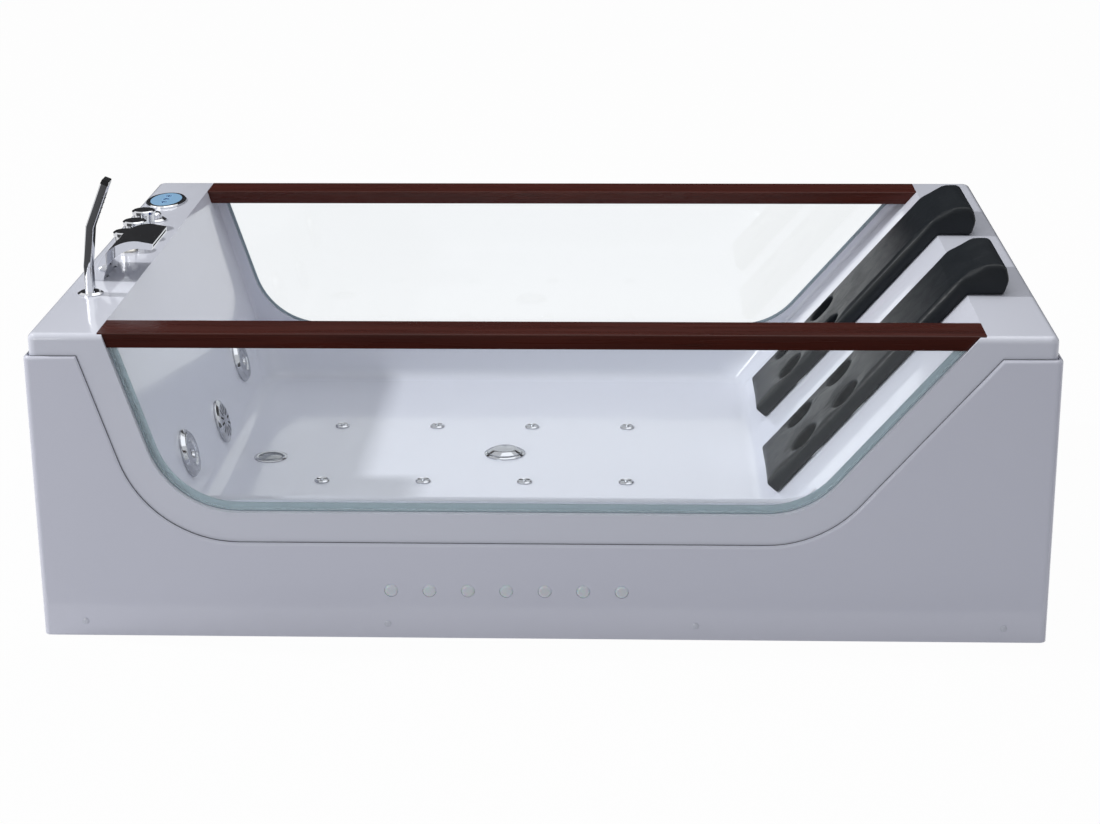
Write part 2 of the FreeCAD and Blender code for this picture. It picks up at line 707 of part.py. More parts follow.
def skirt_face(axis):
    return SKIRT_SIDE if axis == "y" else SKIRT_END


def light_places():
    return [LIGHT_FIRST + i * LIGHT_PITCH for i in range(LIGHT_COUNT)]


def long_skirt(side):
    """Front or rear skirt, with a softened edge that follows the window."""
    skirt = skirt_ring().cut(long_side_cut()).common(corner_wedge("y", side))
    skirt = rounded_edges(skirt, SKIRT_EDGE, lambda edge: on_outer_face(edge, side))
    cuts = [facing(cylinder(SCREW_RADIUS + SEAT_GAP, -2 * SKIRT_THICKNESS, 1), "y", side, along, z,
                   SKIRT_SIDE) for along, z in screw_places("y")]
    if side < 0:
        lens = cylinder(LIGHT_RADIUS + SEAT_GAP, -2 * SKIRT_THICKNESS, 1)
        cuts += [facing(lens, "y", side, x, LIGHT_HEIGHT, SKIRT_SIDE) for x in light_places()]
    return cut_all(skirt, cuts)


def end_skirt(sign):
    skirt = skirt_ring().common(corner_wedge("x", sign))
    face = sign * SKIRT_END
    skirt = rounded_edges(skirt, SKIRT_EDGE, lambda edge: (
        abs(edge.BoundBox.XMin - face) < 0.01 and abs(edge.BoundBox.XMax - face) < 0.01
        and edge.BoundBox.ZMin > SKIRT_TOP - 0.01))
    cuts = [facing(cylinder(SCREW_RADIUS + SEAT_GAP, -2 * SKIRT_THICKNESS, 1), "x", sign, along, z,
                   SKIRT_END) for along, z in screw_places("x")]
    return cut_all(skirt, cuts)


def all_skirt_faces():
    return [("y", -1), ("y", 1), ("x", -1), ("x", 1)]


def skirt_screws():
    """Screws with domed heads, through the skirts into the brackets."""
    grip = -SKIRT_THICKNESS - SCREW_GRIP
    profile = [(0, grip), (SCREW_RADIUS, grip), (SCREW_RADIUS, SEAT_GAP), (CAP_RADIUS, SEAT_GAP),
               (CAP_RADIUS, SEAT_GAP + CAP_HEIGHT / 3), (CAP_RADIUS * 0.6, CAP_HEIGHT), (0, CAP_HEIGHT)]
    screw = revolved(profile)
    return [facing(screw, axis, sign, along, z, skirt_face(axis))
            for axis, sign in all_skirt_faces() for along, z in screw_places(axis)]


def skirt_brackets():
    """Cranked strips on the base frame that the skirts are screwed to."""
    brackets = []
    for axis, sign in all_skirt_faces():
        frame_face = FRAME_Y if axis == "y" else FRAME_X
        skirt_back = SKIRT_BACK if axis == "y" else HALF_L + SEAT_GAP
        for along, z in screw_places(axis):
            brackets.append(skirt_bracket(axis, sign, along, z, frame_face, skirt_back - SEAT_GAP))
    return brackets


def skirt_bracket(axis, sign, along, screw_z, frame_face, outer):
    inner = frame_face + SEAT_GAP / 3
    low = screw_z - BRACKET_WIDTH / 4
    step = FRAME_BOTTOM + TUBE / 4
    top = FRAME_TOP - TUBE * 0.4
    outline = [(outer, low), (outer, step), (inner + BRACKET_THICKNESS, step),
               (inner + BRACKET_THICKNESS, top), (inner, top),
               (inner, step - BRACKET_THICKNESS), (outer - BRACKET_THICKNESS, step - BRACKET_THICKNESS),
               (outer - BRACKET_THICKNESS, low)]
    half = BRACKET_WIDTH / 2
    hole = cylinder(SCREW_RADIUS + SEAT_GAP / 3, -3 * SKIRT_THICKNESS, 0)
    if axis == "y":
        strip = prism_x([(sign * out, z) for out, z in outline], along - half, along + half)
    else:
        strip = prism_y([(sign * out, z) for out, z in outline], along - half, along + half)
    return strip.cut(facing(hole, axis, sign, along, screw_z, skirt_face(axis)))


def skirt_lights():
    """Frosted lenses that stand just proud of the front skirt."""
    flange = LIGHT_RADIUS + 2
    back = -SKIRT_THICKNESS - SEAT_GAP - LENS_FLANGE
    profile = [(0, back), (flange, back), (flange, back + LENS_FLANGE), (LIGHT_RADIUS, back + LENS_FLANGE),
               (LIGHT_RADIUS, -1), (LIGHT_RADIUS * 0.7, LIGHT_PROUD), (0, LIGHT_PROUD)]
    lens = revolved(profile, [0, 0, 0, 0, 1, 4, 0])
    return [facing(lens, "y", -1, x, LIGHT_HEIGHT, SKIRT_SIDE) for x in light_places()]


def light_strip():
    """Light box on the frame, behind the lenses."""
    face = SKIRT_BACK - LENS_FLANGE - 2 * SEAT_GAP
    low = LIGHT_HEIGHT - STRIP_WIDTH / 2
    ends = LIGHT_PITCH / 2
    places = light_places()
    return box(places[0] - ends, places[-1] + ends, -face, -FRAME_Y - SEAT_GAP,
               low, low + STRIP_WIDTH)


# ================================================================ base frame and feet
def bottom_rails():
    """Four bottom rails of square tube, the end rails between the long ones."""
    rails = []
    for side in SIDES:
        y0, y1 = sorted((side * FRAME_Y, side * (FRAME_Y - TUBE)))
        rail = square_tube(-FRAME_X, FRAME_X, y0, y1, FRAME_BOTTOM, FRAME_TOP, "x")
        studs = [cylinder(STUD_RADIUS + STUD_CLEARANCE, FRAME_BOTTOM - 1, FRAME_BOTTOM + TUBE / 2,
                          x, side * (FRAME_Y - TUBE / 2)) for x in FOOT_POSITIONS]
        rails.append(rail.cut(studs))
    inner = FRAME_Y - TUBE
    for end in SIDES:
        x0, x1 = sorted((end * FRAME_X, end * (FRAME_X - TUBE)))
        rails.append(square_tube(x0, x1, -inner, inner, FRAME_BOTTOM, FRAME_TOP, "y"))
    return rails


def cross_members():
    """Bearers across the rails, with a low one for the pump."""
    members = [square_tube(x - TUBE / 2, x + TUBE / 2, -FRAME_Y, FRAME_Y, FRAME_TOP, CROSS_TOP, "y")
               for x in CROSS_MEMBERS]
    inner = FRAME_Y - TUBE
    low = square_tube(PUMP_BEARER - TUBE / 2, PUMP_BEARER + TUBE / 2, -inner, inner,
                      FRAME_BOTTOM, FRAME_TOP, "y")
    return members + [low]


def bearer_bottom():
    return DECK_HEIGHT - SHELL_WALL - 3 * SEAT_GAP - TUBE


def frame_posts():
    """Corner posts up to the deck bearers and short posts under the sills."""
    posts = []
    for side in SIDES:
        y0, y1 = sorted((side * FRAME_Y, side * (FRAME_Y - TUBE)))
        for end in SIDES:
            x0, x1 = sorted((end * FRAME_X, end * (FRAME_X - TUBE)))
            posts.append(square_tube(x0, x1, y0, y1, FRAME_TOP, bearer_bottom(), "z"))
        for x in SILL_POSTS:
            posts.append(square_tube(x - TUBE / 2, x + TUBE / 2, y0, y1, FRAME_TOP,
                                     sill_top() - TUBE, "z"))
    return posts


def deck_bearers():
    """Tubes under the two decks, on the corner posts."""
    bearers = []
    for end in SIDES:
        x0, x1 = sorted((end * FRAME_X, end * (FRAME_X - DECK_BEARER)))
        half = FRAME_Y - SHELL_WALL
        bearers.append(square_tube(x0, x1, -half, half, bearer_bottom(), bearer_bottom() + TUBE, "y"))
    return bearers


def sill_top():
    return WINDOW_SILL - SHELL_WALL - SEAT_GAP


def sill_rails():
    """Tubes that carry the windows' sills, between the corner posts."""
    rails = []
    inner = FRAME_X - TUBE
    for side in SIDES:
        y0, y1 = sorted((side * FRAME_Y, side * (FRAME_Y - TUBE)))
        rails.append(square_tube(-inner, inner, y0, y1, sill_top() - TUBE, sill_top(), "x"))
    return rails


def base_frame():
    """Welded frame: rails, bearers, posts and the plate that the pump stands on."""
    return (bottom_rails() + cross_members() + frame_posts() + deck_bearers() + sill_rails()
            + [pump_plate()])


def floor_board():
    """Board bonded under the bath floor, with room for the fittings."""
    bottom = CROSS_TOP + SEAT_GAP
    top = FLOOR_HEIGHT - SHELL_WALL - SEAT_GAP
    x0 = foot_wall_x(FLOOR_HEIGHT) + BOARD_INSET
    x1 = back_wall_x(FLOOR_HEIGHT) - BOARD_INSET
    half = FLOOR_WIDTH / 2 - 2 * BOARD_INSET
    board = box(x0, x1, -half, half, bottom, top)
    board = rounded_edges(board, BOARD_INSET, lambda edge: runs_along(edge, "z"))
    holes = [cylinder(BUBBLE_RADIUS + 2, bottom - 1, top + 1, x, side * BUBBLE_SPREAD)
             for x in BUBBLE_PLACES for side in SIDES]
    holes.append(cylinder(DRAIN_RADIUS, bottom - 1, top + 1, DRAIN_X, 0))
    holes.append(cylinder(FLOOR_LIGHT_RADIUS + 2, bottom - 1, top + 1, FLOOR_LIGHT_X, FLOOR_LIGHT_Y))
    return board.cut(holes)


def levelling_feet():
    """Six feet: plate, adjusting hexagon and stud, screwed right in."""
    hex_top = FRAME_BOTTOM - SEAT_GAP
    plate = revolved([(0, 0), (FOOT_RADIUS, 0), (FOOT_RADIUS, FOOT_PLATE / 2),
                      (FOOT_RADIUS / 2, FOOT_PLATE), (0, FOOT_PLATE)])
    nut = hexagon(FOOT_HEX, hex_top - FOOT_HEX_HEIGHT, hex_top, 0, 0)
    stud = cylinder(STUD_RADIUS, FOOT_PLATE / 2, FRAME_TOP - TUBE_WALL - 2)
    foot = fuse_all([plate, nut, stud])
    return [placed(foot, x, side * (FRAME_Y - TUBE / 2), 0) for side in SIDES for x in FOOT_POSITIONS]


# ================================================================ back pads
def back_jet_places():
    """Y and distance down the backrest of each jet behind the pads."""
    return [(side * PAD_CENTRE + shift, distance) for side in SIDES
            for shift in (-HOLE_SPREAD, HOLE_SPREAD) for distance in (HOLE_UPPER, HOLE_LOWER)]


def pad_outline():
    """Side view: slab down the backrest, and a roll on the deck."""
    back = SEAT_GAP
    front = SEAT_GAP + PAD_THICKNESS
    seat = DECK_HEIGHT + SEAT_GAP
    edge_x, edge_z = offset_backrest(0, back)
    low_back = offset_backrest(PAD_LOWER_END, back)
    low_front = offset_backrest(PAD_LOWER_END, front)
    high_front = offset_backrest(-PAD_THICKNESS / 2, front)
    deck_start = edge_x + (seat - edge_z) * TAN_BACK
    return [low_back, low_front, high_front, (PAD_NOSE - PAD_THICKNESS * 1.4, PAD_ROLL_TOP),
            (PAD_NOSE - PAD_THICKNESS / 4, PAD_ROLL_TOP), (PAD_NOSE, PAD_ROLL_TOP - PAD_THICKNESS),
            (PAD_ROLL_FOOT, seat), (deck_start, seat)]


def offset_backrest(distance, outward):
    """Point off the backrest, outward square to it."""
    x, z = down_backrest(distance)
    return x - outward * COS_BACK, z + outward * math.sin(math.radians(BACK_LEAN))


def back_pad(side):
    half = PAD_WIDTH / 2
    centre = side * PAD_CENTRE
    radii = [4, 6, 40, 30, 14, 14, 6, 0]
    pad = prism_y(pad_outline(), centre - half, centre + half, radii)
    pad = rounded_edges(pad, PAD_EDGE, lambda edge: edge.BoundBox.YLength < 0.01)
    hole = cylinder(HOLE_RADIUS, -PAD_THICKNESS, 2 * PAD_THICKNESS)
    holes = [on_backrest(hole, y, distance) for y, distance in back_jet_places()
             if abs(y - centre) < PAD_WIDTH]
    return pad.cut(holes)


# ================================================================ water jets
def jet_bodies():
    """Barrels through the foot wall, with flange, nut and chamber behind it."""
    wall = -SHELL_WALL - SEAT_GAP
    profile = [(0, -JET_DEPTH), (JET_BARREL + 4, -JET_DEPTH), (JET_BARREL + 4, -SHELL_WALL * 4),
               (JET_BARREL + 9, -SHELL_WALL * 4), (JET_BARREL + 9, wall), (JET_BARREL, wall),
               (JET_BARREL, SEAT_GAP), (JET_BARREL + 8, SEAT_GAP), (JET_BARREL + 8, 3),
               (JET_BALL_RADIUS + 4, 3), (JET_BALL_RADIUS + 4, -SHELL_WALL * 3), (0, -SHELL_WALL * 3)]
    body = revolved(profile, [0, 8] + [0] * 10)
    return [on_foot_wall(body, side * JET_SPREAD, JET_HEIGHT) for side in SIDES]


def jet_ring(side):
    """Chrome ring, turned by hand, that holds the nozzle ball."""
    base = 3 + SEAT_GAP
    seat = JET_BALL_RADIUS + BALL_CLEARANCE
    profile = [(JET_BARREL + 9, SEAT_GAP), (JET_RING_RADIUS, SEAT_GAP), (JET_RING_RADIUS, 4),
               (JET_RING_RADIUS - 7, JET_RING_HEIGHT), (seat + 5, JET_RING_HEIGHT),
               (seat - 3, JET_RING_HEIGHT - 3), (seat - 3, base), (JET_BARREL + 9, base)]
    ring = revolved(profile, [0, 0, 2, 5, 3, 0, 0, 0])
    ring = ring.cut(Part.makeSphere(seat, Vector(0, 0, base)))
    tab = cylinder(JET_TAB_RADIUS, base, JET_RING_HEIGHT + 1, JET_TAB_RADIUS + 1 - JET_RING_RADIUS)
    return on_foot_wall(fuse_all([ring, tab]), side * JET_SPREAD, JET_HEIGHT)


def jet_nozzle(side):
    """Eyeball nozzle, its mouth sunk in the ring."""
    base = 3 + SEAT_GAP
    ball = Part.makeSphere(JET_BALL_RADIUS, Vector(0, 0, base))
    top = base + JET_BALL_RADIUS * 0.3
    trimmed = ball.common(cylinder(JET_BALL_RADIUS + 1, base - JET_BALL_RADIUS * 0.7, top))
    bore = cylinder(JET_BORE, -FAR, FAR)
    flare = Part.makeCone(JET_BORE, JET_BORE + 4, 4, Vector(0, 0, top - 4))
    return on_foot_wall(trimmed.cut([bore, flare]), side * JET_SPREAD, JET_HEIGHT)


def suction_fitting():
    """Body of the water return behind the foot wall."""
    wall = -SHELL_WALL - SEAT_GAP
    profile = [(0, -SUCTION_TAIL), (SUCTION_PIPE_RADIUS + 4, -SUCTION_TAIL),
               (SUCTION_PIPE_RADIUS + 4, -SUCTION_DEPTH), (SUCTION_BARREL + 9, -SUCTION_DEPTH),
               (SUCTION_BARREL + 9, wall), (SUCTION_BARREL, wall), (SUCTION_BARREL, SEAT_GAP),
               (SUCTION_RADIUS - 6, SEAT_GAP), (SUCTION_RADIUS - 6, 3), (0, 3)]
    return on_foot_wall(revolved(profile), 0, SUCTION_HEIGHT)


def suction_cover():
    """Slotted safety cover over the water return."""
    inner = SUCTION_RADIUS - 5
    dome = [(0, 3 + SEAT_GAP), (inner, 3 + SEAT_GAP), (inner, SEAT_GAP), (SUCTION_RADIUS, SEAT_GAP),
            (SUCTION_RADIUS, 5), (SUCTION_RADIUS - 9, 10), (0, 11)]
    cover = revolved(dome, [0, 0, 0, 0, 2, 8, 0])
    slots = []
    for i in range(12):
        slot = box(14, inner - 6, -2, 2, 6, 20)
        slot.rotate(Vector(0, 0, 0), UP, 30 * i)
        slots.append(slot)
    return on_foot_wall(cover.cut(slots), 0, SUCTION_HEIGHT)


def back_jets():
    """Small jets in the backrest, one under each hole of the pads."""
    wall = -SHELL_WALL - SEAT_GAP
    profile = [(0, -BACK_JET_DEPTH), (BACK_JET_BARREL + 5, -BACK_JET_DEPTH),
               (BACK_JET_BARREL + 5, wall), (BACK_JET_BARREL, wall), (BACK_JET_BARREL, SEAT_GAP),
               (BACK_JET_RADIUS, SEAT_GAP), (BACK_JET_RADIUS, 2), (BACK_JET_RADIUS - 5, 6),
               (BACK_JET_BARREL, 6), (BACK_JET_BARREL - 4, 2), (5, 2), (4, 7), (0, 7)]
    jet = revolved(profile)
    return [on_backrest(jet, y, distance) for y, distance in back_jet_places()]


# ================================================================ bath floor fittings
def bubble_jets():
    """Air jets in the floor: dome with a rim, and a barrel to the air pipe."""
    floor = FLOOR_HEIGHT
    under = floor - SHELL_WALL - SEAT_GAP
    tail = CROSS_TOP - TUBE / 2
    profile = [(0, tail), (RISER_RADIUS, tail), (RISER_RADIUS, under - 12), (BUBBLE_BARREL + 4, under - 12),
               (BUBBLE_BARREL + 4, under), (BUBBLE_BARREL, under), (BUBBLE_BARREL, floor + SEAT_GAP),
               (BUBBLE_RADIUS, floor + SEAT_GAP), (BUBBLE_RADIUS, floor + 2),
               (BUBBLE_RADIUS - 3, floor + 4.5), (BUBBLE_RADIUS - 6, floor + 3),
               (4, floor + 3), (3, floor + 6), (0, floor + 6)]
    jet = revolved(profile)
    return [placed(jet, x, side * BUBBLE_SPREAD, 0) for side in SIDES for x in BUBBLE_PLACES]


def drain_flange():
    """Waste flange in the floor, its barrel and the nut under the floor."""
    floor = FLOOR_HEIGHT
    under = floor - SHELL_WALL - SEAT_GAP
    bore = DRAIN_BARREL - 3
    profile = [(bore, under - 16), (DRAIN_BARREL + 8, under - 16), (DRAIN_BARREL + 8, under),
               (DRAIN_BARREL, under), (DRAIN_BARREL, floor + SEAT_GAP),
               (DRAIN_RADIUS, floor + SEAT_GAP), (DRAIN_RADIUS, floor + 2), (DRAIN_RADIUS - 4, floor + 4),
               (DRAIN_BARREL + 4, floor + 2), (bore, floor - 2)]
    guide = fuse_all([box(-bore - 1, bore + 1, -2, 2, floor - 14, floor - 8),
                      cylinder(6, floor - 20, floor - 6)])
    flange = revolved(profile).fuse(guide).cut(cylinder(3.1, 0, DECK_HEIGHT))
    return placed(flange.removeSplitter(), DRAIN_X, 0, 0)


def drain_cap():
    """Domed pop-up cap on its stem."""
    seat = FLOOR_HEIGHT + 4 + SEAT_GAP
    profile = [(0, FLOOR_HEIGHT - 34), (3, FLOOR_HEIGHT - 34), (3, seat), (CAP_DISC_RADIUS, seat),
               (CAP_DISC_RADIUS, seat + 2), (CAP_DISC_RADIUS * 0.7, seat + 7), (0, seat + 9)]
    cap = revolved(profile, [0, 0, 0, 0, 1, 12, 0])
    return placed(cap, DRAIN_X, 0, 0)


def floor_light():
    """Underwater light: ring, with its body under the floor."""
    floor = FLOOR_HEIGHT
    under = floor - SHELL_WALL - SEAT_GAP
    inner = FLOOR_LIGHT_RADIUS - 9
    profile = [(0, under - 26), (FLOOR_LIGHT_BARREL, under - 26), (FLOOR_LIGHT_BARREL, floor + SEAT_GAP),
               (FLOOR_LIGHT_RADIUS, floor + SEAT_GAP), (FLOOR_LIGHT_RADIUS, floor + 1.5),
               (FLOOR_LIGHT_RADIUS - 4, floor + 3), (inner, floor + 2.5), (inner, floor - 2), (0, floor - 2)]
    return placed(revolved(profile), FLOOR_LIGHT_X, FLOOR_LIGHT_Y, 0)


def floor_light_lens():
    inner = FLOOR_LIGHT_RADIUS - 9 - SEAT_GAP
    base = FLOOR_HEIGHT - 2 + SEAT_GAP
    lens = revolved([(0, base), (inner, base), (inner, FLOOR_HEIGHT), (inner / 2, FLOOR_HEIGHT + 1.5),
                     (0, FLOOR_HEIGHT + 1.5)])
    return placed(lens, FLOOR_LIGHT_X, FLOOR_LIGHT_Y, 0)


# ================================================================ deck fittings
def knob_places():
    return [KNOB_FIRST + i * KNOB_PITCH for i in range(3)]


def deck_hole_list():
    """X, Y and barrel radius of every fitting that passes through the tap deck."""
    holes = [(KNOB_X, y, VALVE_RADIUS - 4) for y in knob_places()]
    holes.append((AIR_KNOB_X, AIR_KNOB_Y, AIR_BASE_RADIUS / 2))
    holes.append((PANEL_X, PANEL_Y, PANEL_HALF_WIDTH / 2))
    holes.append((SHOWER_X, SHOWER_Y, BAR_DEPTH / 2 + 4))
    return holes + [(x, y, INLET_RADIUS) for x, y in spout_tails()]


def spout_tails():
    x = SPOUT_BACK + SPOUT_FOOT / 2
    return [(x, SPOUT_FRONT + SPOUT_WIDTH * share) for share in (0.25, 0.75)]


def bar(width, depth, z0, z1, x, y, edge=3.0):
    """Upright bar of rounded rectangular section."""
    piece = box(x - width / 2, x + width / 2, y - depth / 2, y + depth / 2, z0, z1)
    return rounded_edges(piece, edge, lambda e: runs_along(e, "z"))


def shower_sleeve():
    """Rosette and sleeve on the deck that the hand shower stands in."""
    deck = DECK_HEIGHT + SEAT_GAP
    top = DECK_HEIGHT + SLEEVE_HEIGHT
    rosette = revolved([(0, deck), (ROSETTE_RADIUS, deck), (ROSETTE_RADIUS, deck + 2),
                        (ROSETTE_RADIUS - 5, deck + 5), (0, deck + 5)])
    tail = cylinder(BAR_DEPTH / 2 + 4, DECK_HEIGHT - 60, deck + 1)
    body = fuse_all([placed(rosette, SHOWER_X, SHOWER_Y, 0), placed(tail, SHOWER_X, SHOWER_Y, 0),
                     bar(BAR_WIDTH, BAR_DEPTH, deck, top, SHOWER_X, SHOWER_Y)])
    socket = bar(BAR_WIDTH - 4, BAR_DEPTH - 4, top - SPIGOT_LENGTH - 1, top + 1, SHOWER_X, SHOWER_Y, 2.0)
    hose_way = cylinder(8, 0, FAR, SHOWER_X, SHOWER_Y)
    return body.cut([socket, hose_way])


def spray_frame():
    """Bend point and direction of the tilted spray section, in X and Z."""
    tilt = math.radians(SPRAY_TILT)
    shift = (BAR_BEND - SLEEVE_HEIGHT) * math.tan(math.radians(GRIP_LEAN))
    return SHOWER_X + shift, DECK_HEIGHT + BAR_BEND, math.sin(tilt), math.cos(tilt)


def bar_side(side):
    """Foot, bend and end of one side of the bent bar."""
    x, z, sin_t, cos_t = spray_frame()
    lean = math.radians(GRIP_LEAN)
    half = side * BAR_WIDTH / 2
    foot = (SHOWER_X + half / math.cos(lean), DECK_HEIGHT + SLEEVE_HEIGHT + SEAT_GAP)
    share = half / (1 + math.cos(math.radians(SPRAY_TILT - GRIP_LEAN)))
    bend = (x + share * (math.cos(lean) + cos_t), z - share * (math.sin(lean) + sin_t))
    end = (x + SPRAY_LENGTH * sin_t + half * cos_t, z + SPRAY_LENGTH * cos_t - half * sin_t)
    return [foot, bend, end]


def hand_shower_handle():
    """Bent square bar with the spigot that drops into the sleeve."""
    half = BAR_WIDTH / 2
    foot = DECK_HEIGHT + SLEEVE_HEIGHT + SEAT_GAP
    grip = prism_y(bar_side(1) + bar_side(-1)[::-1], SHOWER_Y - BAR_DEPTH / 2, SHOWER_Y + BAR_DEPTH / 2)
    grip = rounded_edges(grip, 2.5, lambda e: e.BoundBox.YLength < 0.01 and e.BoundBox.ZLength > half * 3)
    spigot = bar(BAR_WIDTH - 4.6, BAR_DEPTH - 4.6, foot - SPIGOT_LENGTH, foot + 1, SHOWER_X, SHOWER_Y, 1.8)
    recess = tilted_strip(half - 1.5, half + 1, 12, SPRAY_LENGTH - 14, BAR_DEPTH - 7)
    return fuse_all([grip, spigot]).cut(recess)


def tilted_strip(near, far, start, end, depth):
    """Block on the underside of the spray section, along its tilt."""
    x, z, sin_t, cos_t = spray_frame()
    corners = []
    for out, along in ((near, start), (far, start), (far, end), (near, end)):
        corners.append((x + out * cos_t + along * sin_t, z - out * sin_t + along * cos_t))
    return prism_y(corners, SHOWER_Y - depth / 2, SHOWER_Y + depth / 2)


def hand_shower_face():
    """Soft spray plate let into the underside of the spray section."""
    half = BAR_WIDTH / 2
    plate = tilted_strip(half - 1.5 + SEAT_GAP, half, 12 + SEAT_GAP, SPRAY_LENGTH - 14 - SEAT_GAP,
                         BAR_DEPTH - 7 - 2 * SEAT_GAP)
    x, z, sin_t, cos_t = spray_frame()
    nipples = []
    for along in range(20, int(SPRAY_LENGTH - 18), 10):
        for across in (-5.0, 0.0, 5.0):
            base = Vector(x + (half - 0.5) * cos_t + along * sin_t, SHOWER_Y + across,
                          z - (half - 0.5) * sin_t + along * cos_t)
            nipples.append(Part.makeCone(1.4, 0.8, 1.8, base, Vector(cos_t, 0, -sin_t)))
    return fuse_all([plate] + nipples)


def hand_shower_end_cap():
    """Dark cap that closes the spray section."""
    half = BAR_WIDTH / 2
    x, z, sin_t, cos_t = spray_frame()
    corners = []
    for out, along in ((-half, 0), (half, 0), (half - 1, 9), (-half + 1, 9)):
        reach = SPRAY_LENGTH + SEAT_GAP + along
        corners.append((x + out * cos_t + reach * sin_t, z - out * sin_t + reach * cos_t))
    return prism_y(corners, SHOWER_Y - BAR_DEPTH / 2, SHOWER_Y + BAR_DEPTH / 2, [0, 0, 2, 2])


def waterfall_spout():
    """Arched blade that pours a sheet of water, with two tails through the deck."""
    deck = DECK_HEIGHT + SEAT_GAP
    front = SPOUT_BACK + SPOUT_FOOT
    tip = SPOUT_BACK + SPOUT_REACH
    crest = DECK_HEIGHT + SPOUT_RISE
    outer_mid = Vector(SPOUT_BACK + SPOUT_REACH * 0.23, SPOUT_FRONT, DECK_HEIGHT + SPOUT_RISE * 0.73)
    inner_mid = Vector(front + SPOUT_REACH * 0.2, SPOUT_FRONT, DECK_HEIGHT + SPOUT_RISE * 0.56)
    outer_end = Vector(tip - SPOUT_REACH * 0.24, SPOUT_FRONT, crest)
    inner_end = Vector(tip - SPOUT_REACH * 0.24, SPOUT_FRONT, crest - SPOUT_LIP - 2)
    lip_top = Vector(tip, SPOUT_FRONT, crest - 5)
    lip_low = Vector(tip - 2, SPOUT_FRONT, crest - 5 - SPOUT_LIP)
    foot_back = Vector(SPOUT_BACK, SPOUT_FRONT, deck)
    foot_front = Vector(front, SPOUT_FRONT, deck)
    edges = [Part.Arc(foot_back, outer_mid, outer_end).toShape(),
             Part.LineSegment(outer_end, lip_top).toShape(), Part.LineSegment(lip_top, lip_low).toShape(),
             Part.LineSegment(lip_low, inner_end).toShape(),
             Part.Arc(inner_end, inner_mid, foot_front).toShape(),
             Part.LineSegment(foot_front, foot_back).toShape()]
    blade = Part.Face(Part.Wire(edges)).extrude(Vector(0, SPOUT_WIDTH, 0))
    slot = box(tip - 14, tip + 2, SPOUT_FRONT + 8, SPOUT_FRONT + SPOUT_WIDTH - 8,
               crest - SPOUT_LIP - 1, crest - 9)
    tails = [cylinder(INLET_RADIUS - 2, DECK_HEIGHT - 55, deck + 4, x, y) for x, y in spout_tails()]
    return fuse_all([blade] + tails).cut(slot)


def fluted(radius, z0, z1, flutes, depth):
    """Round grip with hollow flutes."""
    grooves = []
    for i in range(flutes):
        angle = math.radians(360.0 * i / flutes)
        reach = radius + depth
        grooves.append(cylinder(2 * depth, z0 - 1, z1 + 1, reach * math.cos(angle), reach * math.sin(angle)))
    return cylinder(radius, z0, z1).cut(grooves)


def tap_knob(y):
    """Fluted knob under a wider cap, with the socket for the valve's stem."""
    foot = DECK_HEIGHT + 6 + SEAT_GAP
    top = DECK_HEIGHT + KNOB_HEIGHT
    cap = revolved([(0, top - KNOB_TOP), (KNOB_RADIUS, top - KNOB_TOP), (KNOB_RADIUS, top - 2),
                    (KNOB_RADIUS - 3, top), (0, top - 1)])
    grip = fluted(KNOB_BODY_RADIUS, foot, top - KNOB_TOP + 1, KNOB_FLUTES, 1.6)
    socket = cylinder(KNOB_STEM_RADIUS + 0.05, foot - 1, foot + 18)
    return placed(fuse_all([cap, grip]).cut(socket), KNOB_X, y, 0)


def deck_valves():
    """Valves under the deck: rosette, stem, cartridge body and threaded tail."""
    deck = DECK_HEIGHT + SEAT_GAP
    under = DECK_HEIGHT - SHELL_WALL - SEAT_GAP
    hole = VALVE_RADIUS - 4
    bottom = DECK_HEIGHT - VALVE_DEPTH
    profile = [(0, bottom - INLET_LENGTH), (INLET_RADIUS, bottom - INLET_LENGTH), (INLET_RADIUS, bottom),
               (VALVE_RADIUS, bottom), (VALVE_RADIUS, under - 9), (VALVE_RADIUS + 4, under - 9),
               (VALVE_RADIUS + 4, under), (hole, under), (hole, deck), (KNOB_BODY_RADIUS + 2, deck),
               (KNOB_BODY_RADIUS + 2, deck + 3), (KNOB_BODY_RADIUS - 1, DECK_HEIGHT + 6),
               (KNOB_STEM_RADIUS, DECK_HEIGHT + 6), (KNOB_STEM_RADIUS, DECK_HEIGHT + 22), (0, DECK_HEIGHT + 22)]
    valve = revolved(profile)
    return [placed(valve, KNOB_X, y, 0) for y in knob_places()]


def air_control_base():
    """Ring on the deck and the air valve's barrel under it."""
    deck = DECK_HEIGHT + SEAT_GAP
    barrel = AIR_BASE_RADIUS / 2
    profile = [(0, DECK_HEIGHT - 45), (barrel, DECK_HEIGHT - 45), (barrel, deck),
               (AIR_BASE_RADIUS, deck), (AIR_BASE_RADIUS, deck + 2), (AIR_BASE_RADIUS - 4, DECK_HEIGHT + 5),
               (4, DECK_HEIGHT + 5), (4, DECK_HEIGHT + 14), (0, DECK_HEIGHT + 14)]
    return placed(revolved(profile), AIR_KNOB_X, AIR_KNOB_Y, 0)


def air_control_knob():
    foot = DECK_HEIGHT + 5 + SEAT_GAP
    top = foot + AIR_KNOB_HEIGHT
    grip = fluted(AIR_KNOB_RADIUS, foot, top, 8, 2.0)
    crown = revolved([(0, foot), (AIR_KNOB_RADIUS + 1, foot), (AIR_KNOB_RADIUS + 1, top - 6),
                      (AIR_KNOB_RADIUS - 5, top), (0, top)], [0, 0, 0, 6, 0])
    socket = cylinder(4.05, foot - 1, foot + 10)
    return placed(grip.common(crown).cut(socket), AIR_KNOB_X, AIR_KNOB_Y, 0)


